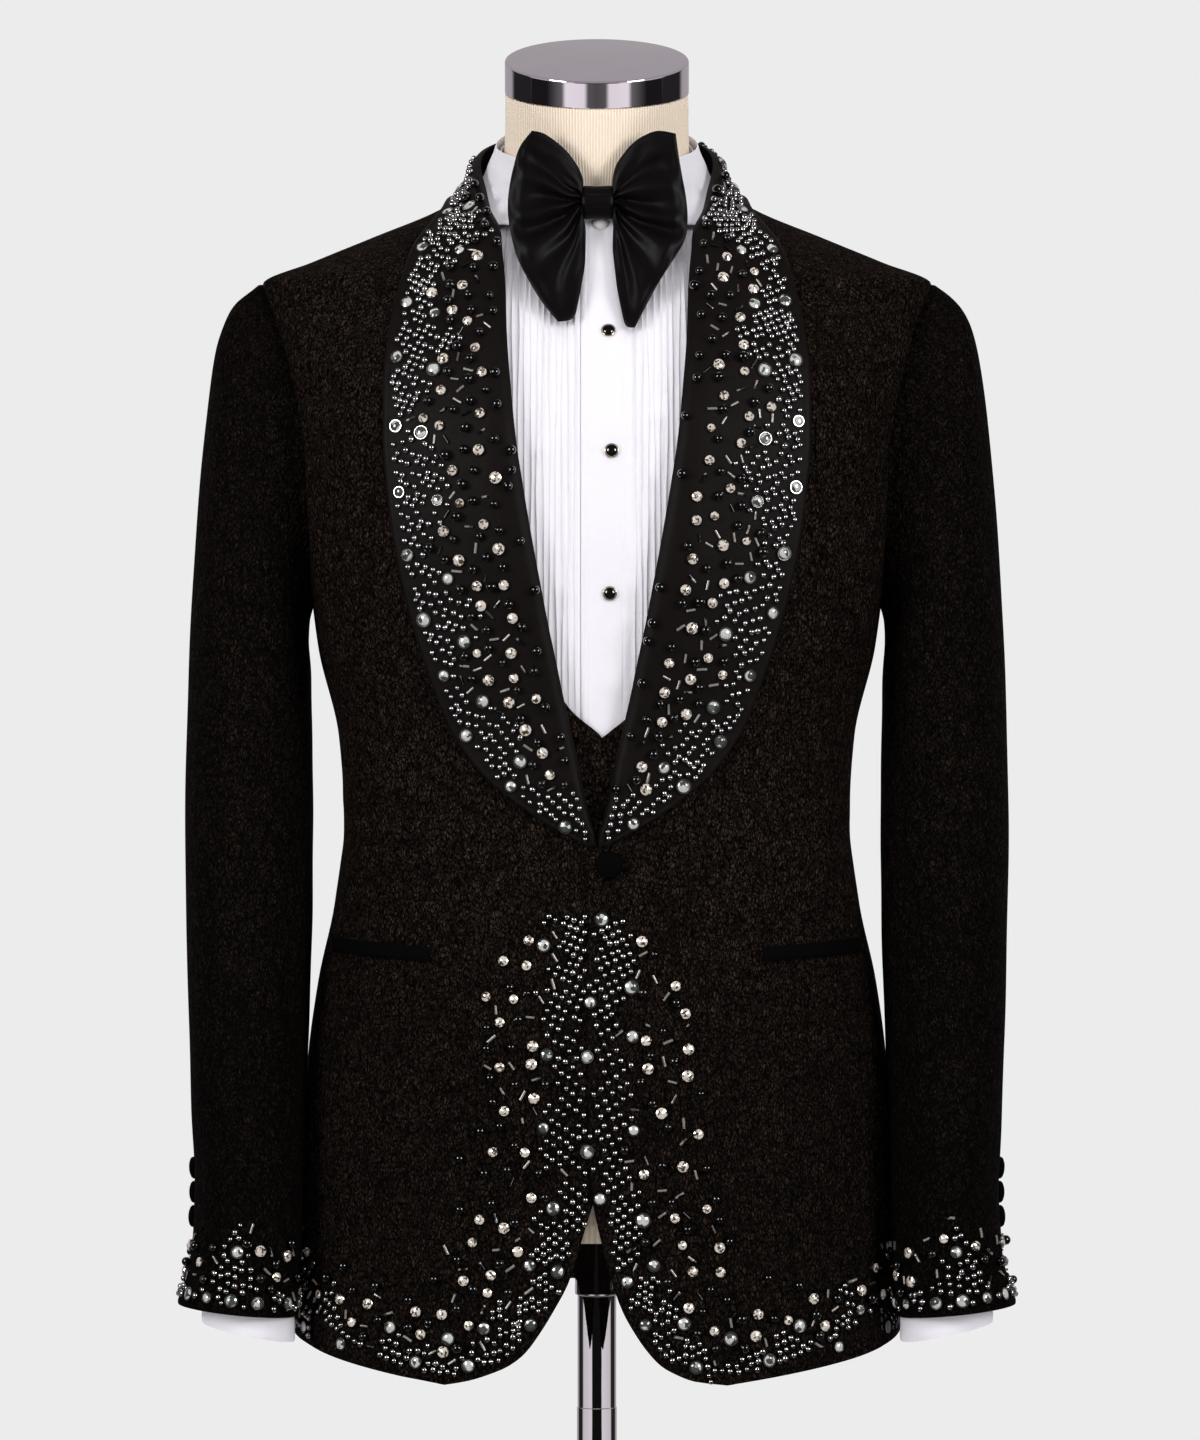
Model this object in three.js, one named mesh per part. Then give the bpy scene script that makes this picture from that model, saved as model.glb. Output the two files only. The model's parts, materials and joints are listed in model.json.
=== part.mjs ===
// A beaded tuxedo on a limbless dress form: jacket, waistcoat, dress shirt and bow tie.
// Millimetres, +Z up. The front faces -Y, the wearer's left is +X, the origin is on the floor under the pole.
import * as THREE from "three";
import { mergeVertices } from "three/addons/utils/BufferGeometryUtils.js";

const DEGREE = Math.PI / 180;

// Layers, as depths below the jacket's outer surface
const JACKET = { outer: 0, inner: 1.8 };
const UNDERLAP = { outer: 2.5, inner: 4.1 };
const WAISTCOAT = { outer: 4.9, inner: 6.2 };
const WAISTCOAT_BACK = { outer: 4.1, inner: 5.1 };
const SHIRT = { outer: 8.4, inner: 9.6 };
const LAPEL_GAP = { chest: 0.8, collar: 2.4 };
const LAPEL_WALL = 2;
const SEAM = 0.3;
const SEAM_TURN = 0.14;
const SLEEVE_SEAM = 1.9;

// Rings of the jacket's outer surface, from under the hem up the neck of the form.
// half is to the side, front and back are from mid, power squares the corners, tilt leans the ring forward.
const BODY_RINGS = [
  { z: 290, half: 197, front: 122, back: 128, mid: 0, power: 2.5, tilt: 0 },
  { z: 400, half: 192, front: 120, back: 126, mid: 0, power: 2.5, tilt: 0 },
  { z: 500, half: 186, front: 117, back: 120, mid: 0, power: 2.5, tilt: 0 },
  { z: 560, half: 178, front: 114, back: 112, mid: 0, power: 2.5, tilt: 0 },
  { z: 610, half: 167.5, front: 112, back: 102, mid: 0, power: 2.5, tilt: 0 },
  { z: 661, half: 161.5, front: 112, back: 94, mid: 0, power: 2.5, tilt: 0 },
  { z: 715, half: 165, front: 115, back: 96, mid: 2, power: 2.5, tilt: 0 },
  { z: 772, half: 178, front: 120, back: 106, mid: 3, power: 2.6, tilt: 0 },
  { z: 840, half: 186.5, front: 124, back: 114, mid: 4, power: 2.7, tilt: 0 },
  { z: 900, half: 192, front: 121, back: 120, mid: 5, power: 2.8, tilt: 0 },
  { z: 945, half: 200, front: 110, back: 120, mid: 6, power: 2.7, tilt: 0 },
  { z: 980, half: 208.5, front: 94, back: 114, mid: 8, power: 2.4, tilt: 0 },
  { z: 1004, half: 214, front: 80, back: 105, mid: 10, power: 2.2, tilt: 0 },
  { z: 1018, half: 183, front: 76, back: 99, mid: 11, power: 2.1, tilt: 1 },
  { z: 1034, half: 144, front: 70, back: 92, mid: 12, power: 2, tilt: 3 },
  { z: 1050, half: 104, front: 65, back: 84, mid: 13, power: 2, tilt: 6 },
  { z: 1058, half: 90, front: 64, back: 79, mid: 14, power: 2, tilt: 8 },
  { z: 1068, half: 79, front: 65, back: 74, mid: 14, power: 2, tilt: 10 },
  { z: 1080, half: 73, front: 68, back: 70, mid: 13, power: 2, tilt: 12 },
  { z: 1095, half: 70.5, front: 70, back: 70, mid: 10, power: 2, tilt: 14 },
  { z: 1130, half: 70, front: 70, back: 70, mid: 1.3, power: 2, tilt: 14 },
  { z: 1165, half: 70, front: 70, back: 70, mid: -7.4, power: 2, tilt: 14 },
];

// Jacket hem, by the turn from the centre front
const HEM = [
  { turn: 0, z: 310 },
  { turn: 26, z: 310 },
  { turn: 35, z: 313 },
  { turn: 45, z: 319 },
  { turn: 62, z: 329.5 },
  { turn: 75, z: 334.5 },
  { turn: 90, z: 339 },
  { turn: 120, z: 347 },
  { turn: 150, z: 354 },
  { turn: 180, z: 357 },
];

// Front edges below the roll, as distances out from the centre line. The left front laps over the right.
const FRONT_EDGE = [
  { z: 310, left: 82, right: 96 },
  { z: 312.5, left: 62, right: 82 },
  { z: 316.5, left: 51, right: 69 },
  { z: 322, left: 41, right: 56 },
  { z: 330, left: 33, right: 45.5 },
  { z: 341, left: 25, right: 37 },
  { z: 357, left: 16, right: 27 },
  { z: 375, left: 9.5, right: 17.5 },
  { z: 392, left: 5, right: 12 },
  { z: 409, left: 0.6, right: 7 },
  { z: 431, left: -3.5, right: 0 },
  { z: 450, left: -5.5, right: -6 },
  { z: 480, left: -5.5, right: -12 },
  { z: 630, left: -5.5, right: -12 },
  { z: 643, left: -3, right: -8 },
  { z: 657, left: 4, right: 4 },
];
const ROLL_START = 657;
const ROLL_COVER = 3;

// Shawl lapel on the chest: inner is the roll line and outer is the free edge
const LAPEL_CHEST = [
  { z: 648, inner: 0.8, outer: 7 },
  { z: 654, inner: 1.2, outer: 18 },
  { z: 663, inner: 3.5, outer: 34 },
  { z: 675, inner: 6.5, outer: 51 },
  { z: 690, inner: 9.5, outer: 69 },
  { z: 703, inner: 12, outer: 80 },
  { z: 720, inner: 16, outer: 91 },
  { z: 742, inner: 21, outer: 100 },
  { z: 764, inner: 25.5, outer: 108 },
  { z: 785, inner: 30, outer: 114.5 },
  { z: 806, inner: 34, outer: 120 },
  { z: 838, inner: 40, outer: 126.5 },
  { z: 870, inner: 45.5, outer: 131 },
  { z: 903, inner: 50.5, outer: 133.5 },
  { z: 938, inner: 54, outer: 133.5 },
  { z: 970, inner: 56.5, outer: 131 },
  { z: 1003, inner: 57.5, outer: 125.5 },
];
const CHEST_STATIONS = 14;
const CHEST_BUNCHING = 1.25;

// The same band on over the shoulder and round the neck to the centre back seam, by turn and ring height
const LAPEL_COLLAR = [
  { station: 0, innerTurn: 18.6, innerZ: 1018, outerTurn: 39.5, outerZ: 1018 },
  { station: 1, innerTurn: 25, innerZ: 1034, outerTurn: 48, outerZ: 1031 },
  { station: 2, innerTurn: 37, innerZ: 1050, outerTurn: 57, outerZ: 1039 },
  { station: 3, innerTurn: 52, innerZ: 1066, outerTurn: 68, outerZ: 1044 },
  { station: 4, innerTurn: 75, innerZ: 1084, outerTurn: 84, outerZ: 1046 },
  { station: 5, innerTurn: 98, innerZ: 1094, outerTurn: 103, outerZ: 1046 },
  { station: 6, innerTurn: 118, innerZ: 1097, outerTurn: 121, outerZ: 1044 },
  { station: 9, innerTurn: 179.8, innerZ: 1098, outerTurn: 179.8, outerZ: 1040 },
];
const COLLAR_STATIONS = 9;

// Lift of the lapel across its width: the fold stands up and the free edge lies flat
const LAPEL_SECTION = [
  { across: 0, lift: -0.5 },
  { across: 0.07, lift: 2.6 },
  { across: 0.17, lift: 3.2 },
  { across: 0.36, lift: 1.9 },
  { across: 0.58, lift: 0.7 },
  { across: 0.8, lift: 0.1 },
  { across: 1, lift: 0 },
];

// Armhole oval on the body, and the seams that run down from it
const ARMHOLE = { z: 902, rise: 102, spread: 23 };
const SHIRT_ARMHOLE = { z: 903, rise: 88, spread: 19 };
const FRONT_SEAM_TURN = 62;
const BACK_SEAM_TURN = 118;
const SEAM_SPREAD_FROM = 700;
const ARMHOLE_SEAM_Z = 830;
const SHOULDER_Z = 1004;
const CENTRE_BACK_TURN = 179.93;
const SIDE_SEAM_GAP = 0.1;

// Heights of the jacket's rows: at the front edge, and along the side and back
const JACKET_ROWS = [
  { row: 0, edge: 310, side: 329.5 },
  { row: 1, edge: 319, side: 354 },
  { row: 2, edge: 336, side: 381 },
  { row: 3, edge: 366, side: 411 },
  { row: 4, edge: 409, side: 445 },
  { row: 5, edge: 470, side: 490 },
  { row: 6, edge: 545, side: 545 },
  { row: 7, edge: 600, side: 598 },
  { row: 8, edge: 643, side: 640 },
  { row: 9, edge: 680, side: 678 },
  { row: 12, edge: 790, side: 790 },
  { row: 13, edge: 830, side: 830 },
  { row: 15, edge: 902, side: 902 },
  { row: 17, edge: 962, side: 962 },
  { row: 18, edge: 984, side: 984 },
  { row: 19, edge: 996, side: 996 },
  { row: 20, edge: 1004, side: 1004 },
  { row: 22, edge: 1026, side: 1026 },
  { row: 24, edge: 1053, side: 1053 },
];
const JACKET_ROW_COUNT = 24;
const SIDE_ROW_COUNT = 13;
const BACK_COLUMNS = 6;
const SIDE_COLUMNS = 5;
const NECKLINE = [
  { z: 1004, turn: 17.5 },
  { z: 1018, turn: 20.5 },
  { z: 1034, turn: 28 },
  { z: 1046, turn: 44 },
  { z: 1053, turn: 70 },
];

// Sleeve rings in front view, from the armhole to the hem: the outer and inner ends, the middle and half depth
const SLEEVE_RINGS = [
  { outerX: 225.5, outerZ: 1002, innerX: 184.2, innerZ: 795, midY: 5, halfY: 54 },
  { outerX: 235, outerZ: 990, innerX: 184.6, innerZ: 786, midY: 5, halfY: 58 },
  { outerX: 243.5, outerZ: 962, innerX: 184.4, innerZ: 772, midY: 4, halfY: 60 },
  { outerX: 251, outerZ: 908, innerX: 183, innerZ: 746, midY: 2, halfY: 61 },
  { outerX: 257, outerZ: 835, innerX: 182, innerZ: 708, midY: -2, halfY: 60 },
  { outerX: 261, outerZ: 750, innerX: 181.4, innerZ: 661, midY: -8, halfY: 58.5 },
  { outerX: 262.5, outerZ: 662, innerX: 181.4, innerZ: 608, midY: -18, halfY: 57 },
  { outerX: 261.5, outerZ: 572, innerX: 182.7, innerZ: 544, midY: -30, halfY: 54.5 },
  { outerX: 259.5, outerZ: 482, innerX: 185, innerZ: 474, midY: -43, halfY: 51 },
  { outerX: 257.5, outerZ: 430, innerX: 186, innerZ: 425, midY: -50, halfY: 48.5 },
  { outerX: 259, outerZ: 390, innerX: 187.2, innerZ: 386, midY: -55, halfY: 47 },
  { outerX: 265.5, outerZ: 357, innerX: 189, innerZ: 349, midY: -60, halfY: 46.5 },
];
const SLEEVE_WALL = 1.8;
const SLEEVE_COLUMNS = 8;
const TOP_SLEEVE = { from: -70, to: 110 };
const UNDER_SLEEVE = { from: 110, to: 290 };

// Shirt sleeve inside it, and the cuff that shows below the hem
const SHIRT_SLEEVE_WALL = 1.2;
const SHIRT_SLEEVE_RINGS = [
  { row: 1, inset: 11 },
  { row: 2, inset: 9 },
  { row: 3.3, inset: 7 },
  { row: 5, inset: 6 },
  { row: 7, inset: 6 },
  { row: 9.4, inset: 6 },
];
const SHIRT_SLEEVE_COLUMNS = 12;
const CUFF_RINGS = [
  { outerX: 249.5, outerZ: 402, innerX: 193.5, innerZ: 398, midY: -55, halfY: 38 },
  { outerX: 250, outerZ: 372, innerX: 192.2, innerZ: 366, midY: -58, halfY: 38 },
  { outerX: 250.5, outerZ: 345.5, innerX: 191.4, innerZ: 333, midY: -60, halfY: 38 },
];
const CUFF_WALL = 1.6;
const CUFF_COLUMNS = 16;

// Pocket welts, by distance from the centre line
const HIP_WELT = { inner: 104, outer: 166, innerZ: 574.5, outerZ: 578.5, height: 9.4 };
const BREAST_WELT = { inner: 137, outer: 170, innerZ: 890, outerZ: 893, height: 23 };
const WELT = { gap: 0.8, wall: 1.3, columns: 8 };

// Buttons and studs: a radius and a height
const BUTTON_SEAT = -0.6;
const STUD_SINK = -0.5;
const FRONT_BUTTON = { radius: 8.6, height: 4.6, x: 8, z: 636 };
const CUFF_BUTTON = { radius: 7, height: 4.4, turn: -14, from: 447, pitch: 15.3, count: 3 };
const STUD = { radius: 4.1, height: 3.4 };
const STUDS = [
  { x: 4.4, z: 968, sink: 1.2 },
  { x: 6.9, z: 894, sink: 0.8 },
  { x: 6.2, z: 805, sink: 0 },
];
const BUTTON_SIDES = { large: 14, small: 8 };
const COLLAR_BUTTON = { radius: 4.6, height: 2.2, x: 2, z: 1041 };

// Shirt fronts: a plain placket, then rows of pin tucks, then the plain side
const PLACKET = { left: -10.15, right: 10.45, tuckStart: 21 };
const TUCK_PITCH = 4;
const TUCK_RISE = 0.9;
const TUCK_FOLD = { foot: 0.3, edge: 0.75 };
const PLACKET_HEM = 1.5;
const TUCKS = { left: 9, right: 12 };
const TUCKS_FROM = 760;
const BIB_ROWS = [540, 661, 725, 800, 880, 940, 980, 1004, 1052];
const SHIRT_ROWS = [540, 610, 661, 700, 718, 750, 800, 850, 900, 950, 985, 1004, 1018, 1034, 1052];
const SHIRT_COLUMNS = { front: 5, back: 12 };

// Shirt collar on the neck, by ring height
const COLLAR_COLUMNS = 24;
const COLLAR_BAND = { outer: 8.7, inner: 10.1, low: 1052.4, highFront: 1078, highBack: 1089 };
const COLLAR_LEAF = {
  from: 15, foldFront: 1079, foldBack: 1090, edge: 1057, foldDepth: 7, edgeDepth: 2.6, wall: 1.2, turnOver: 2.4,
};

// Waistcoat, mostly hidden: a low V front, a plain back
const VEST_V = [
  { z: 500, x: 0 },
  { z: 700, x: 0 },
  { z: 717, x: 2 },
  { z: 732, x: 17 },
  { z: 760, x: 34 },
  { z: 850, x: 52 },
  { z: 950, x: 66 },
  { z: 1004, x: 72 },
  { z: 1040, x: 80 },
];
const VEST_V_CENTRE = 4;
const VEST_ROWS = [540, 610, 661, 700, 718, 750, 800, 825, 850, 900, 950, 985, 1004, 1018, 1034];
const VEST_COLUMNS = { front: 8, back: 12 };
const VEST_BACK_SHARE = 0.6;
const VEST_ARMHOLE = [
  { z: 790, spread: 0 },
  { z: 850, spread: 19 },
  { z: 900, spread: 32 },
  { z: 960, spread: 33 },
  { z: 1004, spread: 20 },
  { z: 1018, spread: 8 },
  { z: 1034, spread: 0 },
];

// Bow tie: one wing's outline round the knot, looking at the front, x out and z up from the knot's middle
const BOW_CENTRE = { x: -1, y: -49.8, z: 1054 };
const BOW_LEAN = 7.5;
const BOW_TOP = [[9.5, 7.5], [9.2, 17], [12.5, 25], [20.5, 33.5], [30.5, 40], [42, 45]];
const BOW_OUTER = [[42, 45], [49, 38.5], [54, 24], [57.2, 9], [56.2, -10], [49, -32], [38.5, -56], [27.5, -75]];
const BOW_LOW = [[9.5, -7.5], [8, -24], [8.6, -42], [11.5, -62], [17, -74.5], [27.5, -75]];
const BOW_STEPS = { along: 8, across: 7 };
const BOW_THICK = { root: 3.6, edge: 1.1, belly: 3.4 };
const BOW_CHEST = { from: 1040, slope: 0.45 };
const KNOT = { width: 18, height: 20, depth: 11, pinch: 0.14, sides: 14, steps: 6 };
const TIE_BAND = { low: 1060, high: 1069, outer: 4.9, inner: 6.3 };

// Dress form and stand
const FORM_ROWS = [
  398, 460, 530, 600, 661, 720, 790, 850, 900, 945, 985, 1004, 1018, 1034, 1047, 1059, 1072, 1088, 1120,
];
const FORM_DEPTH = [
  { z: 398, depth: 15 },
  { z: 1004, depth: 15 },
  { z: 1018, depth: 13.4 },
  { z: 1034, depth: 12.6 },
  { z: 1050, depth: 12 },
  { z: 1080, depth: 11.7 },
  { z: 1130, depth: 11.4 },
];
const FORM_COLUMNS = 20;
const CAP = { radius: 58.8, height: 22.5, dome: 3.5, edge: 1.6 };
const CAP_SIDES = 28;
const NECK_TILT = 14;
const POLE = { radius: 12.75, sides: 16 };
const SOCKET = { radius: 14.1, low: 357, high: 397.7, rim: 0.8 };
const BASE = { radius: 170, thick: 9, rise: 8, hubRadius: 24, hubTop: 34, sides: 32 };

const materials = {
  jacquard: new THREE.MeshStandardMaterial({ color: 0x1b1715, roughness: 0.85, metalness: 0 }),
  satin: new THREE.MeshStandardMaterial({ color: 0x1c1a1b, roughness: 0.38, metalness: 0 }),
  cotton: new THREE.MeshStandardMaterial({ color: 0xf0edf4, roughness: 0.8, metalness: 0 }),
  jersey: new THREE.MeshStandardMaterial({ color: 0xdccbb2, roughness: 0.85, metalness: 0 }),
  chrome: new THREE.MeshStandardMaterial({ color: 0xc9ccd2, roughness: 0.08, metalness: 1 }),
  steel: new THREE.MeshStandardMaterial({ color: 0x9a9c9e, roughness: 0.32, metalness: 1 }),
  onyx: new THREE.MeshStandardMaterial({ color: 0x0a0a0b, roughness: 0.12, metalness: 0 }),
  pearl: new THREE.MeshStandardMaterial({ color: 0xe9e6e2, roughness: 0.25, metalness: 0 }),
};

const tuxedo = new THREE.Group();

const blend = (a, b, share) => a + (b - a) * share;
const smooth = (share) => {
  const s = Math.min(1, Math.max(0, share));
  return s * s * (3 - 2 * s);
};

// A smooth curve through two columns of a table that doesn't overshoot its rows
function tableCurve(rows, from, to) {
  const rise = (i) => (rows[i + 1][to] - rows[i][to]) / (rows[i + 1][from] - rows[i][from]);
  const slopes = rows.map((row, i) => {
    if (i === 0) return rise(0);
    if (i === rows.length - 1) return rise(i - 1);
    const before = rise(i - 1);
    const after = rise(i);
    return before * after <= 0 ? 0 : (2 * before * after) / (before + after);
  });
  return (at) => {
    let i = 0;
    while (i < rows.length - 2 && at > rows[i + 1][from]) i += 1;
    const span = rows[i + 1][from] - rows[i][from];
    const s = Math.min(1, Math.max(0, (at - rows[i][from]) / span));
    const start = rows[i][to] * (1 + 2 * s) * (1 - s) ** 2 + slopes[i] * span * s * (1 - s) ** 2;
    const end = rows[i + 1][to] * s * s * (3 - 2 * s) + slopes[i + 1] * span * s * s * (s - 1);
    return start + end;
  };
}

const ringAt = {};
for (const name of ["half", "front", "back", "mid", "power", "tilt"]) {
  ringAt[name] = tableCurve(BODY_RINGS, "z", name);
}

// A point of the jacket's outer surface. turn is in degrees from the centre front towards +X.
function surfacePoint(turn, z) {
  const sine = Math.sin(turn * DEGREE);
  const cosine = Math.cos(turn * DEGREE);
  const power = ringAt.power(z);
  const reach = (Math.abs(sine) ** power + Math.abs(cosine) ** power) ** (-1 / power);
  const along = -cosine * reach * (cosine > 0 ? ringAt.front(z) : ringAt.back(z));
  const tilt = ringAt.tilt(z) * DEGREE;
  return new THREE.Vector3(
    ringAt.half(z) * sine * reach,
    ringAt.mid(z) + along * Math.cos(tilt),
    z + along * Math.sin(tilt),
  );
}

function surfaceNormal(turn, z) {
  const round = surfacePoint(turn + 0.5, z).sub(surfacePoint(turn - 0.5, z));
  const up = surfacePoint(turn, z + 1).sub(surfacePoint(turn, z - 1));
  return round.cross(up).normalize();
}

// A point under that surface, or over it where depth is negative
function bodyPoint(turn, z, depth) {
  return surfacePoint(turn, z).addScaledVector(surfaceNormal(turn, z), -depth);
}

// The turn at which the front of a ring is x out from the centre line
function turnAt(x, z) {
  const power = ringAt.power(z);
  const sine = Math.min(1, Math.abs(x) / ringAt.half(z));
  const cosine = (1 - sine ** power) ** (1 / power);
  return (Math.sign(x) * Math.atan2(sine, cosine)) / DEGREE;
}

function armholeTurn(hole, z, share) {
  const height = Math.min(1, Math.abs((z - hole.z) / hole.rise));
  return 90 + share * hole.spread * Math.sqrt(1 - height * height);
}

const hemZ = tableCurve(HEM, "turn", "z");
const necklineTurn = tableCurve(NECKLINE, "z", "turn");
const lapelInner = tableCurve(LAPEL_CHEST, "z", "inner");
const lapelOuter = tableCurve(LAPEL_CHEST, "z", "outer");
const frontEdge = {
  left: tableCurve(FRONT_EDGE, "z", "left"),
  right: tableCurve(FRONT_EDGE, "z", "right"),
};

// The front and back seams of the side body, and above them the armhole and the shoulder seam
function sideTurn(z, low, share) {
  if (z >= SHOULDER_Z) return 90;
  if (z >= ARMHOLE_SEAM_Z) return armholeTurn(ARMHOLE, z, share);
  const top = armholeTurn(ARMHOLE, ARMHOLE_SEAM_Z, share);
  const spread = (z - SEAM_SPREAD_FROM) / (ARMHOLE_SEAM_Z - SEAM_SPREAD_FROM);
  return blend(low, top, smooth(spread));
}

// Turns a grid of triangles into one closed geometry whose faces point outwards
function closedGeometry(points, triangles) {
  let volume = 0;
  for (const [a, b, c] of triangles) {
    volume += points[a].dot(points[b].clone().cross(points[c]));
  }
  const index = triangles.flatMap(([a, b, c]) => (volume > 0 ? [a, b, c] : [a, c, b]));
  const geometry = new THREE.BufferGeometry().setFromPoints(points);
  geometry.setIndex(index);
  return geometry;
}

// A wall of cloth: outer and inner grids of points, joined round their rims. A round wall closes on itself.
function clothWall(rows, columns, outerAt, innerAt, round = false) {
  const across = round ? columns : columns + 1;
  const points = [];
  for (const pointAt of [outerAt, innerAt]) {
    for (let i = 0; i <= rows; i += 1) {
      for (let j = 0; j < across; j += 1) {
        points.push(pointAt(j / columns, i / rows));
      }
    }
  }
  const inside = (rows + 1) * across;
  const at = (i, j) => i * across + (j % across);
  const triangles = [];
  const quad = (a, b, c, d) => triangles.push([a, b, c], [a, c, d]);
  for (let i = 0; i < rows; i += 1) {
    for (let j = 0; j < columns; j += 1) {
      quad(at(i, j), at(i, j + 1), at(i + 1, j + 1), at(i + 1, j));
      quad(inside + at(i, j), inside + at(i + 1, j), inside + at(i + 1, j + 1), inside + at(i, j + 1));
    }
  }
  for (let j = 0; j < columns; j += 1) {
    quad(at(0, j + 1), at(0, j), inside + at(0, j), inside + at(0, j + 1));
    quad(at(rows, j), at(rows, j + 1), inside + at(rows, j + 1), inside + at(rows, j));
  }
  if (!round) {
    for (let i = 0; i < rows; i += 1) {
      quad(at(i, 0), at(i + 1, 0), inside + at(i + 1, 0), inside + at(i, 0));
      quad(at(i + 1, columns), at(i, columns), inside + at(i, columns), inside + at(i + 1, columns));
    }
  }
  return closedGeometry(points, triangles);
}

// A solid through rings of points, closed by a flat end at each side
function ringSolid(rings) {
  const points = rings.flat();
  const count = rings[0].length;
  const triangles = [];
  for (let i = 0; i < rings.length - 1; i += 1) {
    for (let j = 0; j < count; j += 1) {
      const next = (j + 1) % count;
      const a = i * count + j;
      const b = i * count + next;
      triangles.push([a, b, b + count], [a, b + count, a + count]);
    }
  }
  const top = (rings.length - 1) * count;
  for (let j = 1; j < count - 1; j += 1) {
    triangles.push([0, j + 1, j], [top, top + j, top + j + 1]);
  }
  return closedGeometry(points, triangles);
}

function add(name, geometry, material) {
  geometry.computeVertexNormals();
  const mesh = new THREE.Mesh(geometry, material);
  mesh.name = name;
  tuxedo.add(mesh);
  return mesh;
}

// A wall that follows the body. place gives the turn and ring height of each share across and up.
function bodyWall(rows, columns, place, outerDepth, innerDepth, side) {
  const pointAt = (depth) => (u, v) => {
    const { turn, z } = place(u, v);
    const point = bodyPoint(turn, z, depth(u, v));
    point.x *= side;
    return point;
  };
  return clothWall(rows, columns, pointAt(outerDepth), pointAt(innerDepth));
}

const SIDES = [
  { name: "left", side: 1 },
  { name: "right", side: -1 },
];

// Jacket fronts. The right front's first columns step down under the left front.
const rowAtEdge = tableCurve(JACKET_ROWS, "row", "edge");
const rowAtSide = tableCurve(JACKET_ROWS, "row", "side");
const FRONT_COLUMNS = [0, 0.11, 0.26, 0.42, 0.58, 0.73, 0.87, 1];
const LAPPED_BELOW = 690;

function frontEdgeTurn(name, z) {
  if (z > SHOULDER_Z) return necklineTurn(z);
  if (z > ROLL_START) return turnAt(lapelInner(z) + ROLL_COVER, z);
  return turnAt(frontEdge[name](z), z);
}

function jacketFrontPlace(name, column, row) {
  const edgeZ = rowAtEdge(row);
  const sideZ = rowAtSide(row);
  const start = frontEdgeTurn(name, edgeZ);
  const end = sideTurn(sideZ, FRONT_SEAM_TURN, -1) - SEAM_TURN;
  const step = FRONT_COLUMNS[column];
  return { turn: blend(start, end, step), z: blend(edgeZ, sideZ, step) };
}

for (const { name, side } of SIDES) {
  const count = FRONT_COLUMNS.length - 1;
  const place = (u, v) => jacketFrontPlace(name, Math.round(u * count), v * JACKET_ROW_COUNT);
  const lapped = (u, v) => name === "right" && Math.round(u * count) < 2 && place(u, v).z < LAPPED_BELOW;
  const outer = (u, v) => (lapped(u, v) ? UNDERLAP.outer : JACKET.outer);
  const inner = (u, v) => (lapped(u, v) ? UNDERLAP.inner : JACKET.inner);
  add(`jacket_front_${name}`, bodyWall(JACKET_ROW_COUNT, count, place, outer, inner, side), materials.jacquard);
}

// The hem's rise from the front seam to the back, fading out up the rows
function hemShift(turn, row) {
  return (hemZ(turn) - hemZ(FRONT_SEAM_TURN)) * (1 - smooth(row / SIDE_ROW_COUNT));
}

// Jacket side bodies, from the hem to the bottom of the armhole
for (const { name, side } of SIDES) {
  const place = (u, v) => {
    const row = v * SIDE_ROW_COUNT;
    const level = rowAtSide(row);
    const front = sideTurn(level, FRONT_SEAM_TURN, -1) + SEAM_TURN;
    const back = sideTurn(level, BACK_SEAM_TURN, 1) - SEAM_TURN;
    const turn = blend(front, back, u);
    const oval = 135 + 90 * u;
    const sag = ARMHOLE.z + ARMHOLE.rise * Math.cos(oval * DEGREE) - ARMHOLE_SEAM_Z;
    return { turn, z: level + hemShift(turn, row) + sag * v ** 3 };
  };
  const geometry = bodyWall(SIDE_ROW_COUNT, SIDE_COLUMNS, place, () => JACKET.outer, () => JACKET.inner, side);
  add(`jacket_side_${name}`, geometry, materials.jacquard);
}

// Jacket backs, which meet at the centre back seam
for (const { name, side } of SIDES) {
  const place = (u, v) => {
    const row = v * JACKET_ROW_COUNT;
    const level = rowAtSide(row);
    const turn = blend(sideTurn(level, BACK_SEAM_TURN, 1) + SEAM_TURN, CENTRE_BACK_TURN, u);
    return { turn, z: level + hemShift(turn, row) };
  };
  const geometry = bodyWall(JACKET_ROW_COUNT, BACK_COLUMNS, place, () => JACKET.outer, () => JACKET.inner, side);
  add(`jacket_back_${name}`, geometry, materials.jacquard);
}

// Shawl lapels: the fold follows the roll line up the chest and round the back of the neck
const collarAt = {};
for (const key of ["innerTurn", "innerZ", "outerTurn", "outerZ"]) {
  collarAt[key] = tableCurve(LAPEL_COLLAR, "station", key);
}

function lapelStation(share) {
  const at = share * (CHEST_STATIONS + COLLAR_STATIONS);
  if (at < CHEST_STATIONS) {
    const first = LAPEL_CHEST[0].z;
    const last = LAPEL_COLLAR[0].innerZ;
    const z = blend(first, last, (at / CHEST_STATIONS) ** CHEST_BUNCHING);
    const sunk = Math.min(z, LAPEL_CHEST[LAPEL_CHEST.length - 1].z);
    const grow = (z - sunk) / (last - sunk + 1e-6);
    const innerTurn = blend(turnAt(lapelInner(sunk), z), LAPEL_COLLAR[0].innerTurn, grow);
    const outerTurn = blend(turnAt(lapelOuter(sunk), z), LAPEL_COLLAR[0].outerTurn, grow);
    return { innerTurn, innerZ: z, outerTurn, outerZ: z };
  }
  const station = {};
  for (const key of Object.keys(collarAt)) {
    station[key] = collarAt[key](at - CHEST_STATIONS);
  }
  return station;
}

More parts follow.
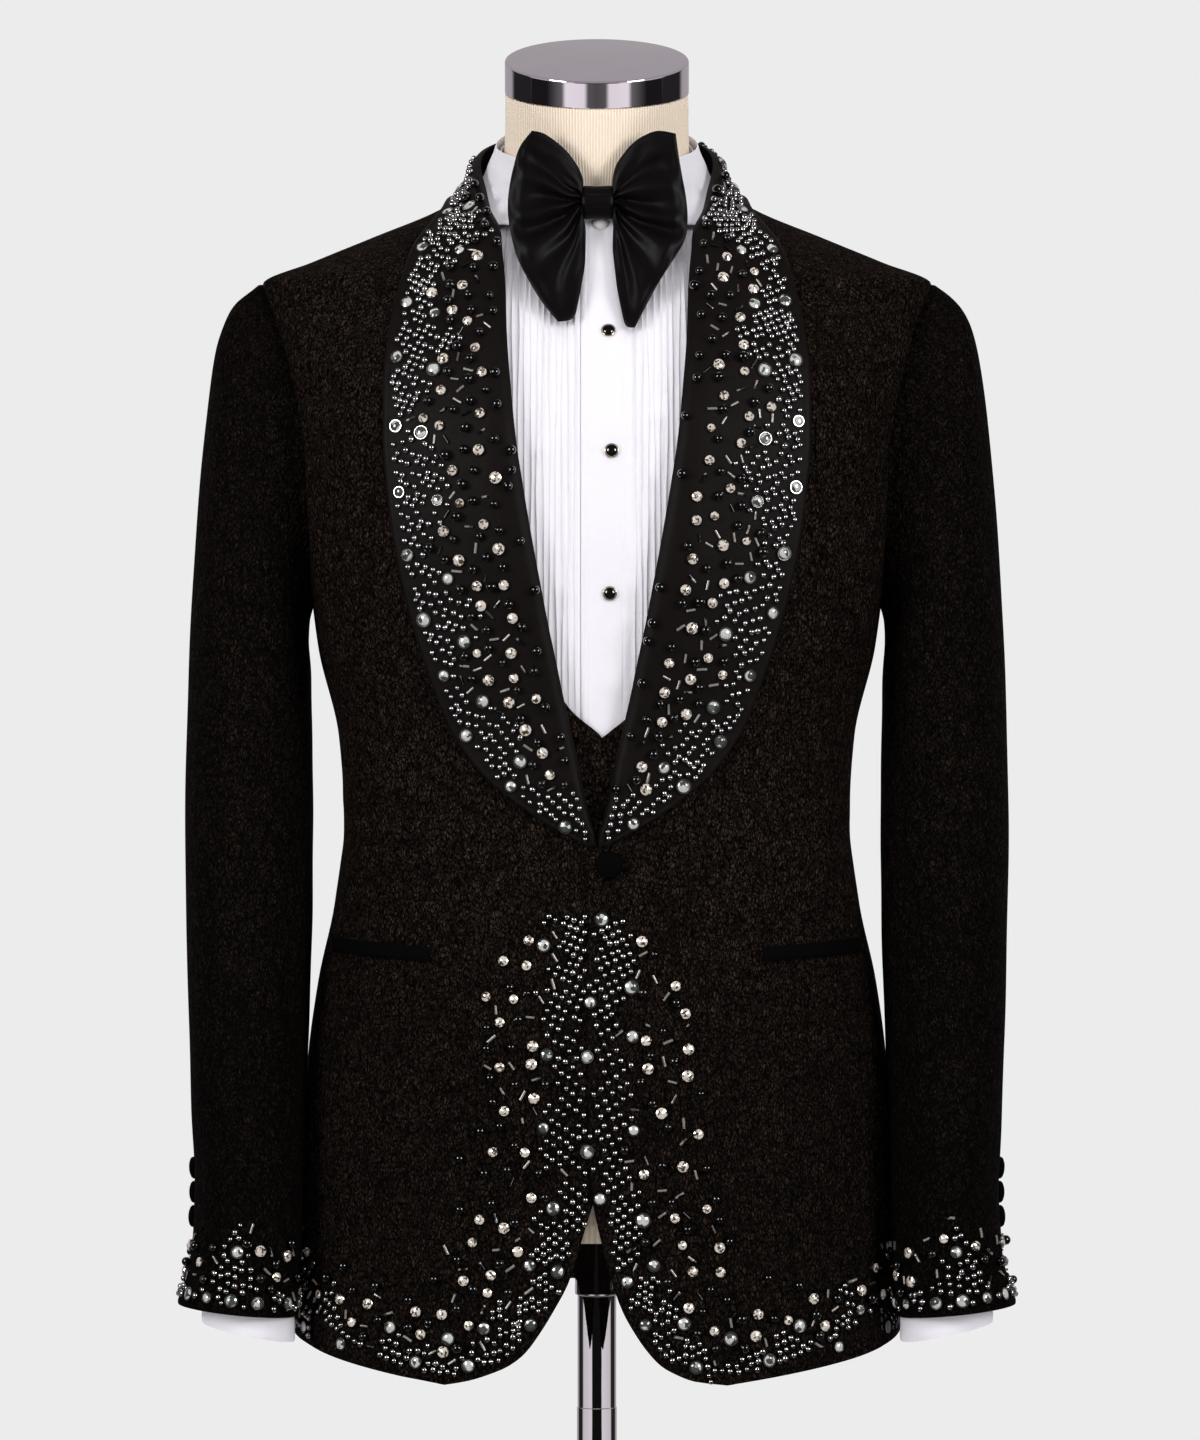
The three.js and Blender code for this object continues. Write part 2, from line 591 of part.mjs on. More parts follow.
for (const { name, side } of SIDES) {
  const rows = CHEST_STATIONS + COLLAR_STATIONS;
  const count = LAPEL_SECTION.length - 1;
  const place = (u, v) => {
    const station = lapelStation(v);
    const { across } = LAPEL_SECTION[Math.round(u * count)];
    return {
      turn: blend(station.innerTurn, station.outerTurn, across),
      z: blend(station.innerZ, station.outerZ, across),
    };
  };
  const lift = (u, v) => LAPEL_SECTION[Math.round(u * count)].lift * smooth(v * 12 + 0.25);
  const gap = (v) => blend(LAPEL_GAP.chest, LAPEL_GAP.collar, smooth(v * 6 - 3));
  const inner = (u, v) => -gap(v) - lift(u, v);
  const outer = (u, v) => inner(u, v) - LAPEL_WALL;
  add(`lapel_${name}`, bodyWall(rows, count, place, outer, inner, side), materials.satin);
}

// Pocket welts, laid on the fronts
function welt(name, size, side, material) {
  const place = (u, v) => {
    const z = blend(size.innerZ, size.outerZ, u) + size.height * v;
    return { turn: turnAt(blend(size.inner, size.outer, u), z), z };
  };
  const inner = () => -WELT.gap;
  const outer = () => -WELT.gap - WELT.wall;
  add(name, bodyWall(1, WELT.columns, place, outer, inner, side), material);
}
for (const { name, side } of SIDES) {
  welt(`hip_welt_${name}`, HIP_WELT, side, materials.satin);
}
welt("breast_welt_left", BREAST_WELT, 1, materials.jacquard);

// Sleeves: the first ring is the armhole itself, and the rest are ovals between an outer and an inner end
const sleeveAt = {};
SLEEVE_RINGS.forEach((ring, i) => {
  ring.row = i + 1;
});
for (const key of ["outerX", "outerZ", "innerX", "innerZ", "midY", "halfY"]) {
  sleeveAt[key] = tableCurve(SLEEVE_RINGS, "row", key);
}

function ovalPoint(ring, angle, inset) {
  const middle = new THREE.Vector3((ring.outerX + ring.innerX) / 2, ring.midY, (ring.outerZ + ring.innerZ) / 2);
  const across = new THREE.Vector3((ring.outerX - ring.innerX) / 2, 0, (ring.outerZ - ring.innerZ) / 2);
  const width = across.length();
  across.setLength(width - inset);
  const point = middle.addScaledVector(across, Math.cos(angle * DEGREE));
  point.y -= (ring.halfY - inset) * Math.sin(angle * DEGREE);
  return point;
}

function sleeveRing(row) {
  const ring = {};
  for (const key of Object.keys(sleeveAt)) {
    ring[key] = sleeveAt[key](row);
  }
  return ring;
}

function armholePoint(hole, angle, depth, out) {
  const z = hole.z + hole.rise * Math.cos(angle * DEGREE);
  const turn = 90 - hole.spread * Math.sin(angle * DEGREE);
  const point = bodyPoint(turn, z, depth);
  point.x += out;
  return point;
}

function sleevePoint(angle, row, inset) {
  const ring = sleeveRing(Math.max(1, row));
  const oval = ovalPoint(ring, angle, inset);
  const share = smooth(row / 3);
  const hole = armholePoint(ARMHOLE, angle, inset, SLEEVE_SEAM);
  const start = sleeveRing(1);
  const moved = hole.add(oval.clone().sub(ovalPoint(start, angle, inset)));
  return row === 0 ? armholePoint(ARMHOLE, angle, inset, SLEEVE_SEAM) : moved.lerp(oval, share);
}

const SLEEVE_PIECES = [
  { name: "sleeve_top", from: TOP_SLEEVE.from, to: TOP_SLEEVE.to },
  { name: "sleeve_under", from: UNDER_SLEEVE.from, to: UNDER_SLEEVE.to },
];
for (const { name, side } of SIDES) {
  for (const piece of SLEEVE_PIECES) {
    const pointAt = (inset) => (u, v) => {
      const angle = blend(piece.from + SEAM, piece.to - SEAM, u);
      const point = sleevePoint(angle, v * SLEEVE_RINGS.length, inset);
      point.x *= side;
      return point;
    };
    const geometry = clothWall(SLEEVE_RINGS.length, SLEEVE_COLUMNS, pointAt(0), pointAt(SLEEVE_WALL));
    add(`${piece.name}_${name}`, geometry, materials.jacquard);
  }
}

// Shirt sleeves from the shirt's own armhole, and the cuffs
for (const { name, side } of SIDES) {
  const rows = SHIRT_SLEEVE_RINGS.length;
  const pointAt = (inset) => (u, v) => {
    const angle = 360 * u;
    const i = Math.round(v * rows);
    const point = i === 0
      ? armholePoint(SHIRT_ARMHOLE, angle, SHIRT.outer + inset, SLEEVE_SEAM)
      : ovalPoint(sleeveRing(SHIRT_SLEEVE_RINGS[i - 1].row), angle, SHIRT_SLEEVE_RINGS[i - 1].inset + inset);
    point.x *= side;
    return point;
  };
  const sleeve = clothWall(rows, SHIRT_SLEEVE_COLUMNS, pointAt(0), pointAt(SHIRT_SLEEVE_WALL), true);
  add(`shirt_sleeve_${name}`, sleeve, materials.cotton);
  const cuffAt = (inset) => (u, v) => {
    const point = ovalPoint(CUFF_RINGS[Math.round(v * 2)], 360 * u, inset);
    point.x *= side;
    return point;
  };
  add(`shirt_cuff_${name}`, clothWall(2, CUFF_COLUMNS, cuffAt(0), cuffAt(CUFF_WALL), true), materials.cotton);
}

// A low dome with a flat back, set with its back at a point and its axis along a direction
function dome(radius, height, sides, point, direction) {
  const steps = [[0, 0.94], [0.45, 0.97], [0.85, 0.6], [1, 0]];
  const profile = [new THREE.Vector2(0, 0)];
  for (const [rise, width] of steps) {
    profile.push(new THREE.Vector2(radius * Math.max(width, 0), height * rise));
  }
  const geometry = mergeVertices(bareGeometry(new THREE.LatheGeometry(profile, sides)));
  const turn = new THREE.Quaternion().setFromUnitVectors(new THREE.Vector3(0, 1, 0), direction);
  geometry.applyQuaternion(turn);
  geometry.translate(point.x, point.y, point.z);
  return geometry;
}

function bareGeometry(geometry) {
  geometry.deleteAttribute("normal");
  geometry.deleteAttribute("uv");
  return geometry;
}

function domeOnBody(name, size, turn, z, depth, sides, material) {
  const point = bodyPoint(turn, z, depth);
  add(name, dome(size.radius, size.height, sides, point, surfaceNormal(turn, z)), material);
}

domeOnBody(
  "jacket_button",
  FRONT_BUTTON,
  turnAt(FRONT_BUTTON.x, FRONT_BUTTON.z),
  FRONT_BUTTON.z,
  BUTTON_SEAT,
  BUTTON_SIDES.large,
  materials.satin,
);
STUDS.forEach((stud, i) => {
  const turn = turnAt(stud.x, stud.z);
  domeOnBody(`shirt_stud_${i + 1}`, STUD, turn, stud.z, SHIRT.outer + STUD_SINK + stud.sink, BUTTON_SIDES.small, materials.onyx);
});
domeOnBody(
  "collar_button",
  COLLAR_BUTTON,
  turnAt(COLLAR_BUTTON.x, COLLAR_BUTTON.z),
  COLLAR_BUTTON.z,
  SHIRT.outer + STUD_SINK,
  BUTTON_SIDES.small,
  materials.pearl,
);

// Cuff buttons up the back of each sleeve
for (const { name, side } of SIDES) {
  for (let i = 0; i < CUFF_BUTTON.count; i += 1) {
    const z = CUFF_BUTTON.from - CUFF_BUTTON.pitch * i;
    let row = SLEEVE_RINGS.length;
    while (row > 0 && sleevePoint(CUFF_BUTTON.turn, row, 0).z < z) row -= 0.05;
    const point = sleevePoint(CUFF_BUTTON.turn, row, -SEAM);
    const round = sleevePoint(CUFF_BUTTON.turn + 2, row, 0).sub(sleevePoint(CUFF_BUTTON.turn - 2, row, 0));
    const down = sleevePoint(CUFF_BUTTON.turn, row + 0.1, 0).sub(sleevePoint(CUFF_BUTTON.turn, row - 0.1, 0));
    const out = round.cross(down).normalize();
    if (out.x < 0) out.negate();
    point.x *= side;
    out.x *= side;
    const geometry = dome(CUFF_BUTTON.radius, CUFF_BUTTON.height, BUTTON_SIDES.small, point, out);
    add(`cuff_button_${name}_${i + 1}`, geometry, materials.satin);
  }
}

// Shirt fronts. The bib holds the placket and the pin tucks, and the side front is plain.
function shirtSideTurn(z, share) {
  const low = SHIRT_ARMHOLE.z - SHIRT_ARMHOLE.rise;
  const high = SHIRT_ARMHOLE.z + SHIRT_ARMHOLE.rise;
  return z > low && z < high ? armholeTurn(SHIRT_ARMHOLE, z, share) : 90;
}

for (const { name, side } of SIDES) {
  const start = name === "left" ? PLACKET.tuckStart : PLACKET.right;
  const edges = name === "left" ? [PLACKET.left, PLACKET.left + PLACKET_HEM, start - 1] : [PLACKET.right];
  const columns = edges.map((x) => ({ x, rise: 0 }));
  for (let i = 0; i < TUCKS[name]; i += 1) {
    columns.push({ x: start + TUCK_PITCH * (i + TUCK_FOLD.foot), rise: 0 });
    columns.push({ x: start + TUCK_PITCH * (i + TUCK_FOLD.edge), rise: TUCK_RISE });
  }
  columns.push({ x: start + TUCK_PITCH * TUCKS[name] + 1, rise: 0 });
  const last = columns[columns.length - 1].x;
  const rows = BIB_ROWS.length - 1;
  const count = columns.length - 1;
  const bib = (u, v) => {
    const z = BIB_ROWS[Math.round(v * rows)];
    return { turn: turnAt(columns[Math.round(u * count)].x, z), z };
  };
  const raised = (u, v) => {
    const shown = BIB_ROWS[Math.round(v * rows)] > TUCKS_FROM;
    return SHIRT.outer - (shown ? columns[Math.round(u * count)].rise : 0);
  };
  add(`shirt_bib_${name}`, bodyWall(rows, count, bib, raised, () => SHIRT.inner, side), materials.cotton);
  const plain = (u, v) => {
    const z = SHIRT_ROWS[Math.round(v * (SHIRT_ROWS.length - 1))];
    return { turn: blend(turnAt(last + SEAM, z), shirtSideTurn(z, -1) - SIDE_SEAM_GAP, u), z };
  };
  const front = bodyWall(SHIRT_ROWS.length - 1, SHIRT_COLUMNS.front, plain, () => SHIRT.outer, () => SHIRT.inner, side);
  add(`shirt_front_${name}`, front, materials.cotton);
}

// Shirt back, one piece from side to side
function roundTheBack(leftTurn, rows, u, v) {
  const z = rows[Math.round(v * (rows.length - 1))];
  const start = leftTurn(z);
  return { turn: blend(start, 360 - start, u), z };
}
const shirtBack = (u, v) => roundTheBack((z) => shirtSideTurn(z, 1) + SIDE_SEAM_GAP, SHIRT_ROWS, u, v);
add(
  "shirt_back",
  bodyWall(SHIRT_ROWS.length - 1, SHIRT_COLUMNS.back, shirtBack, () => SHIRT.outer, () => SHIRT.inner, 1),
  materials.cotton,
);

// Collar band round the neck, and the leaf that turns down over it
const facing = (turn) => (1 - Math.cos(turn * DEGREE)) / 2;
const collarBand = (depth) => (u, v) => {
  const turn = 360 * u;
  const high = blend(COLLAR_BAND.highFront, COLLAR_BAND.highBack, Math.sqrt(facing(turn)));
  return bodyPoint(turn, blend(COLLAR_BAND.low, high, v), depth);
};
add(
  "shirt_collar_band",
  clothWall(2, COLLAR_COLUMNS, collarBand(COLLAR_BAND.outer), collarBand(COLLAR_BAND.inner), true),
  materials.cotton,
);
const collarLeaf = (offset) => (u, v) => {
  const turn = blend(COLLAR_LEAF.from, 360 - COLLAR_LEAF.from, u);
  const fold = blend(COLLAR_LEAF.foldFront, COLLAR_LEAF.foldBack, Math.sqrt(facing(turn)));
  const depth = blend(COLLAR_LEAF.foldDepth, COLLAR_LEAF.edgeDepth, smooth(v * COLLAR_LEAF.turnOver));
  return bodyPoint(turn, blend(fold, COLLAR_LEAF.edge, v), depth + offset);
};
add("shirt_collar_leaf", clothWall(3, COLLAR_COLUMNS, collarLeaf(0), collarLeaf(COLLAR_LEAF.wall)), materials.cotton);

// Waistcoat fronts and back
const vestEdge = tableCurve(VEST_V, "z", "x");
const vestSpread = tableCurve(VEST_ARMHOLE, "z", "spread");
const vestSideTurn = (z, share) => 90 + share * vestSpread(z);
for (const { name, side } of SIDES) {
  const place = (u, v) => {
    const z = VEST_ROWS[Math.round(v * (VEST_ROWS.length - 1))];
    const start = turnAt(vestEdge(z) + VEST_V_CENTRE * side + SEAM, z);
    return { turn: blend(start, vestSideTurn(z, -1) - SIDE_SEAM_GAP, u), z };
  };
  const front = bodyWall(VEST_ROWS.length - 1, VEST_COLUMNS.front, place, () => WAISTCOAT.outer, () => WAISTCOAT.inner, side);
  add(`waistcoat_front_${name}`, front, materials.jacquard);
}
const vestBack = (u, v) => roundTheBack((z) => vestSideTurn(z, VEST_BACK_SHARE) + SIDE_SEAM_GAP, VEST_ROWS, u, v);
add(
  "waistcoat_back",
  bodyWall(VEST_ROWS.length - 1, VEST_COLUMNS.back, vestBack, () => WAISTCOAT_BACK.outer, () => WAISTCOAT_BACK.inner, 1),
  materials.satin,
);

// Bow tie wings: a rounded solid of the folded ribbon, hung in front of the collar
function bowCurve(points) {
  return new THREE.SplineCurve(points.map(([x, z]) => new THREE.Vector2(x, z)));
}
const bowTop = bowCurve(BOW_TOP);
const bowOuter = bowCurve(BOW_OUTER);
const bowLow = bowCurve(BOW_LOW);
function bowPlace(across, along) {
  const top = bowTop.getPoint(along);
  const low = bowLow.getPoint(along);
  const outer = bowOuter.getPoint(across);
  const root = new THREE.Vector2(BOW_TOP[0][0], blend(BOW_TOP[0][1], BOW_LOW[0][1], across));
  const place = top.clone().lerp(low, across).add(root.clone().lerp(outer, along));
  const corners = new THREE.Vector2(...BOW_TOP[0]).lerp(new THREE.Vector2(...BOW_LOW[0]), across);
  const ends = new THREE.Vector2(...BOW_OUTER[0]).lerp(new THREE.Vector2(...BOW_OUTER.at(-1)), across);
  return place.sub(corners.lerp(ends, along));
}
function chestLean(z) {
  return Math.max(0, BOW_CHEST.from - z) * BOW_CHEST.slope;
}
for (const { name, side } of SIDES) {
  const pointAt = (front) => (u, v) => {
    const place = bowPlace(u, v);
    const belly = Math.sin(Math.PI * u) * Math.sin(Math.PI * Math.min(1, v * 0.85));
    const half = blend(BOW_THICK.root, BOW_THICK.edge, Math.sqrt(v)) + BOW_THICK.belly * belly;
    const rim = u < 0.01 || u > 0.99 || v > 0.99 ? BOW_THICK.edge : half;
    const z = BOW_CENTRE.z + place.y;
    const y = BOW_CENTRE.y - BOW_LEAN * v - chestLean(z) - front * rim;
    return new THREE.Vector3(BOW_CENTRE.x + side * place.x, y, z);
  };
  add(`bow_wing_${name}`, clothWall(BOW_STEPS.along, BOW_STEPS.across, pointAt(1), pointAt(-1)), materials.satin);
}

// The knot, an oval loop that stands between the wings, and the band round the neck
const knotRings = [];
for (let i = 0; i <= KNOT.steps; i += 1) {
  const share = i / KNOT.steps;
  const pinch = 1 - KNOT.pinch * (1 - Math.cos(2 * Math.PI * share));
  const points = [];
  for (let j = 0; j < KNOT.sides; j += 1) {
    const angle = (2 * Math.PI * j) / KNOT.sides;
    const x = BOW_CENTRE.x + (share - 0.5) * KNOT.width;
    const y = BOW_CENTRE.y + (KNOT.depth / 2) * pinch * Math.cos(angle);
    const z = BOW_CENTRE.z + (KNOT.height / 2) * pinch * Math.sin(angle);
    points.push(new THREE.Vector3(x, y, z));
  }
  knotRings.push(points);
}
add("bow_knot", ringSolid(knotRings), materials.satin);
const tieBand = (depth) => (u, v) => bodyPoint(360 * u, blend(TIE_BAND.low, TIE_BAND.high, v), depth);
add("bow_band", clothWall(1, COLLAR_COLUMNS, tieBand(TIE_BAND.outer), tieBand(TIE_BAND.inner), true), materials.satin);

// Dress form: a smooth torso and neck, its chromed cap, and the stand
const formDepth = tableCurve(FORM_DEPTH, "z", "depth");
const formRings = FORM_ROWS.map((z, i) => {
  const points = [];
  for (let j = 0; j < FORM_COLUMNS; j += 1) {
    const point = bodyPoint((360 * j) / FORM_COLUMNS, z, formDepth(z));
    points.push(i === 0 ? point.setZ(z) : point);
  }
  return points;
});
add("form_torso", ringSolid(formRings), materials.jersey);

const neckTop = FORM_ROWS.at(-1);
const capProfile = [
  [0, 0],
  [CAP.radius, 0],
  [CAP.radius, CAP.height - CAP.edge],
  [CAP.radius - CAP.edge, CAP.height],
  [CAP.radius * 0.6, CAP.height + CAP.dome * 0.64],
  [0, CAP.height + CAP.dome],
].map(([r, h]) => new THREE.Vector2(r, h));
const cap = mergeVertices(bareGeometry(new THREE.LatheGeometry(capProfile, CAP_SIDES)));
cap.rotateX(Math.PI / 2 + NECK_TILT * DEGREE);
const capLift = new THREE.Vector3(0, -Math.sin(NECK_TILT * DEGREE), Math.cos(NECK_TILT * DEGREE));
capLift.multiplyScalar(SEAM);
cap.translate(capLift.x, ringAt.mid(neckTop) + capLift.y, neckTop + capLift.z);
add("neck_cap", cap, materials.chrome);

function turned(name, profile, sides, material) {
  const points = profile.map(([r, z]) => new THREE.Vector2(r, z));
  const geometry = mergeVertices(bareGeometry(new THREE.LatheGeometry(points, sides)));
  geometry.rotateX(Math.PI / 2);
  add(name, geometry, material);
}
turned("pole_socket", [
  [0, SOCKET.low],
  [SOCKET.radius - SOCKET.rim, SOCKET.low],
  [SOCKET.radius, SOCKET.low + SOCKET.rim],
  [SOCKET.radius, SOCKET.high],
  [0, SOCKET.high],
], POLE.sides, materials.steel);
turned("pole", [
  [0, BASE.hubTop + SEAM],
  [POLE.radius, BASE.hubTop + SEAM],
  [POLE.radius, SOCKET.low - SEAM],
  [0, SOCKET.low - SEAM],
], POLE.sides, materials.steel);
turned("stand_base", [
  [0, 0],
  [BASE.radius, 0],
  [BASE.radius, BASE.thick * 0.6],
  [BASE.radius - BASE.thick * 0.4, BASE.thick],
  [BASE.hubRadius * 2, BASE.thick + BASE.rise],
  [BASE.hubRadius, BASE.thick + BASE.rise * 1.6],
  [BASE.hubRadius - 3, BASE.hubTop],
  [0, BASE.hubTop],
], BASE.sides, materials.steel);

export default tuxedo;
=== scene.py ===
# A beaded tuxedo on a limbless dress form: jacket, waistcoat, dress shirt and bow tie.
# Tables and grids are in millimetres, in the part's own frame, and become metres in the meshes.
import json
import math

import bmesh
import bpy
import numpy as np
from mathutils import Matrix, Vector

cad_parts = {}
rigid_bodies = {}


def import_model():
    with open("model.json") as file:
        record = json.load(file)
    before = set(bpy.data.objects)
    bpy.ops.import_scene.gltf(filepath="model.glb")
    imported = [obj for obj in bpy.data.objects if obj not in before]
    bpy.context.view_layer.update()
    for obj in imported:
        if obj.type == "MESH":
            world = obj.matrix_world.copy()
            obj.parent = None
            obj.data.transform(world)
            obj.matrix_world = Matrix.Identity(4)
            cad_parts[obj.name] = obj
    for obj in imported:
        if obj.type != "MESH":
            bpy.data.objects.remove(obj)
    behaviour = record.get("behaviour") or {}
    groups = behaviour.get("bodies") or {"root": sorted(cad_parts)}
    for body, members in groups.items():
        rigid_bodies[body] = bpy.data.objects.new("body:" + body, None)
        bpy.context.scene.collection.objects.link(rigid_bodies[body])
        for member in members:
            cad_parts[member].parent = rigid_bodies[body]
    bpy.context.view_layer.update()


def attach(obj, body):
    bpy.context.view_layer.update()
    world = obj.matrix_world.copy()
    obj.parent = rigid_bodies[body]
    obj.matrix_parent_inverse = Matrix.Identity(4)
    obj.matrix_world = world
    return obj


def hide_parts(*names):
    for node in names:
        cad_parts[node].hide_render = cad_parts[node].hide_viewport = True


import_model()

MM = 0.001
DEGREE = math.pi / 180
SIDES = (("left", 1), ("right", -1))


# Tables and curves


def table(columns, *rows):
    return dict(zip(columns.split(), np.array(rows, dtype=float).T))


def curve(rows, across, up):
    """A smooth curve through two columns of a table that doesn't overshoot its rows."""
    x, y = rows[across], rows[up]
    rise = np.diff(y) / np.diff(x)
    before, after = rise[:-1], rise[1:]
    both = np.where(before * after > 0, before + after, 1)
    inner = np.where(before * after > 0, 2 * before * after / both, 0)
    slope = np.concatenate([rise[:1], inner, rise[-1:]])

    def at(value):
        value = np.asarray(value, dtype=float)
        i = np.clip(np.searchsorted(x, value) - 1, 0, len(x) - 2)
        span = x[i + 1] - x[i]
        s = np.clip((value - x[i]) / span, 0, 1)
        start = y[i] * (1 + 2 * s) * (1 - s) ** 2 + slope[i] * span * s * (1 - s) ** 2
        end = y[i + 1] * s * s * (3 - 2 * s) + slope[i + 1] * span * s * s * (s - 1)
        return start + end

    return at


def blend(a, b, share):
    return a + (b - a) * share


def smooth(share):
    s = np.clip(share, 0, 1)
    return s * s * (3 - 2 * s)


# Sizes of the garment: the part's, apart from those that follow the photo more closely

JACKET = (0, 1.8)
UNDERLAP = 2.5
WAISTCOAT = (4.9, 6.2)
WAISTCOAT_BACK = (4.1, 5.1)
SHIRT = (8.4, 9.6)
LAPEL_GAP = {"chest": 0.8, "collar": 2.4}
LAPEL_WALL = 2
SEAM = 0.3
ROUNDING = 0.32
ROUNDING_REACH = 1.0
SLEEVE_SEAM = -0.6
SLEEVE_LAP = 0.15

BODY_RINGS = table(
    "z half front back mid power tilt",
    (290, 197, 122, 128, 0, 2.5, 0),
    (400, 192, 120, 126, 0, 2.5, 0),
    (500, 186, 117, 120, 0, 2.5, 0),
    (560, 178, 114, 112, 0, 2.5, 0),
    (610, 167.5, 112, 102, 0, 2.5, 0),
    (661, 161.5, 112, 94, 0, 2.5, 0),
    (715, 165, 115, 96, 2, 2.5, 0),
    (772, 178, 120, 106, 3, 2.6, 0),
    (840, 186.5, 124, 114, 4, 2.7, 0),
    (900, 192, 121, 120, 5, 2.8, 0),
    (945, 200, 110, 120, 6, 2.7, 0),
    (980, 208.5, 94, 114, 8, 2.4, 0),
    (1004, 214, 80, 105, 10, 2.2, 0),
    (1018, 183, 76, 99, 11, 2.1, 1),
    (1034, 144, 70, 92, 12, 2, 3),
    (1050, 104, 65, 84, 13, 2, 6),
    (1058, 90, 64, 79, 14, 2, 8),
    (1068, 79, 65, 74, 14, 2, 10),
    (1080, 73, 68, 70, 13, 2, 12),
    (1095, 70.5, 70, 70, 10, 2, 14),
    (1130, 70, 70, 70, 1.3, 2, 14),
    (1165, 70, 70, 70, -7.4, 2, 14),
)
HEM = table(
    "turn z",
    (0, 310), (26, 310), (35, 313), (45, 319), (62, 329.5), (75, 334.5), (90, 339), (120, 347), (150, 354),
    (180, 357),
)
FRONT_EDGE = table(
    "z left right",
    (310, 82, 96), (312.5, 62, 82), (316.5, 51, 69), (322, 41, 56), (330, 33, 45.5), (341, 25, 37), (357, 16, 27),
    (375, 9.5, 17.5), (392, 5, 12), (409, 0.6, 7), (431, -3.5, 0), (450, -5.5, -6), (480, -5.5, -12),
    (630, -5.5, -12), (643, -3, -8), (657, 4, 4),
)
ROLL_START = 657
ROLL_COVER = 3
LAPEL_CHEST = table(
    "z inner outer",
    (648, 0.8, 7), (654, 1.2, 18), (663, 3.5, 34), (675, 6.5, 51), (690, 9.5, 69), (703, 12, 80), (720, 16, 91),
    (742, 21, 100), (764, 25.5, 108), (785, 30, 114.5), (806, 34, 120), (838, 40, 126.5), (870, 45.5, 131),
    (903, 50.5, 133.5), (938, 54, 133.5), (970, 56.5, 130.5), (1003, 57.5, 124), (1018, 58.4, 118.5),
)
CHEST_STATIONS = 14
CHEST_BUNCHING = 1.25
LAPEL_COLLAR = table(
    "station inner_turn inner_z outer_turn outer_z",
    (0, 18.6, 1018, 39.6, 1018),
    (1, 24.4, 1034, 48, 1031),
    (1.5, 30, 1042.5, 52.4, 1036.5),
    (2, 38, 1049, 57, 1041),
    (3, 52, 1061, 65.5, 1047),
    (4, 69, 1074, 79, 1053),
    (5, 94, 1084, 99, 1055),
    (6, 117, 1088, 121, 1051),
    (9, 179.8, 1090, 179.8, 1042),
)
COLLAR_STATIONS = 9
SHOULDER_PASSES = 14
LAPEL_SECTION = table(
    "across lift", (0, -0.5), (0.07, 2.6), (0.17, 3.2), (0.36, 1.9), (0.58, 0.7), (0.8, 0.1), (1, 0),
)
ARMHOLE = {"z": 902, "rise": 102, "spread": 23}
SHIRT_ARMHOLE = {"z": 903, "rise": 88, "spread": 19}
FRONT_SEAM_TURN = 62
BACK_SEAM_TURN = 118
SEAM_SPREAD_FROM = 700
ARMHOLE_SEAM_Z = 830
SHOULDER_Z = 1004
CENTRE_BACK_TURN = 180
SIDE_SEAM_GAP = 0.1
JACKET_ROWS = table(
    "row edge side",
    (0, 310, 329.5), (1, 319, 354), (2, 336, 381), (3, 366, 411), (4, 409, 445), (5, 470, 490), (6, 545, 545),
    (7, 600, 598), (8, 643, 640), (9, 680, 678), (12, 790, 790), (13, 830, 830), (15, 902, 902), (17, 962, 962),
    (18, 984, 984), (19, 996, 996), (20, 1004, 1004), (22, 1028, 1028), (24, 1060, 1060),
)
JACKET_ROW_COUNT = 24
SIDE_ROW_COUNT = 13
NECKLINE = table("z turn", (1004, 17.5), (1018, 20.5), (1034, 28), (1046, 44), (1053, 70))
SLEEVE_RINGS = table(
    "row outer_x outer_z inner_x inner_z mid_y half_y",
    (1, 225.5, 1002, 184.2, 795, 5, 54),
    (2, 235, 990, 184.6, 786, 5, 58),
    (3, 243.5, 962, 184.4, 772, 4, 60),
    (4, 251, 908, 183, 746, 2, 61),
    (5, 257, 835, 182, 708, -2, 60),
    (6, 261, 750, 181.4, 661, -8, 58.5),
    (7, 262.5, 662, 181.4, 608, -18, 57),
    (8, 260.5, 572, 182.7, 544, -30, 54.5),
    (9, 257.5, 482, 185, 474, -43, 51),
    (10, 255, 430, 186, 425, -50, 48.5),
    (11, 257, 390, 187.2, 386, -55, 47),
    (12, 265.5, 357, 189, 349, -60, 46.5),
)
SLEEVE_ROW_COUNT = 12
SLEEVE_WALL = 1.8
SLEEVE_PIECES = (("top", -70, 110), ("under", 110, 290))
SHIRT_SLEEVE = table("row inset", (0, 12), (1, 11), (2, 9), (3.3, 7), (5, 6), (7, 6), (9.4, 6))
SHIRT_SLEEVE_ROWS = 9.4
SHIRT_SLEEVE_WALL = 1.2
CUFF_RINGS = table(
    "row outer_x outer_z inner_x inner_z mid_y half_y",
    (0, 249.5, 402, 193.5, 398, -55, 38),
    (1, 250, 372, 192.2, 366, -58, 38),
    (2, 250.5, 345.5, 191.4, 333, -60, 38),
)
CUFF_WALL = 1.6
HIP_WELT = {"inner": 104, "outer": 166, "inner_z": 574.5, "outer_z": 578.5, "height": 9.4}
BREAST_WELT = {"inner": 137, "outer": 170, "inner_z": 890, "outer_z": 893, "height": 23}
WELT = {"gap": 0.8, "wall": 1.3}
FRONT_BUTTON = {"radius": 8.6, "height": 4.6, "x": 8, "z": 636, "seat": -0.6}
CUFF_BUTTON = {"radius": 7, "height": 4.4, "turn": -14, "from": 441, "pitch": 15.3}
STUD = {"radius": 4.5, "height": 3.4}
STUDS = ((7.3, 975, 0.7), (9.3, 896, 0.3), (8.2, 805.5, -0.5))
COLLAR_BUTTON = {"radius": 4.6, "height": 2.2, "x": 2.4, "z": 1050}
PLACKET = {"left": -10.15, "right": 10.45, "tuck_start": 21}
TUCK_PITCH = 4
TUCK_RISE = 1.15
TUCKS = {"left": 9, "right": 12}
TUCKS_FROM = 760
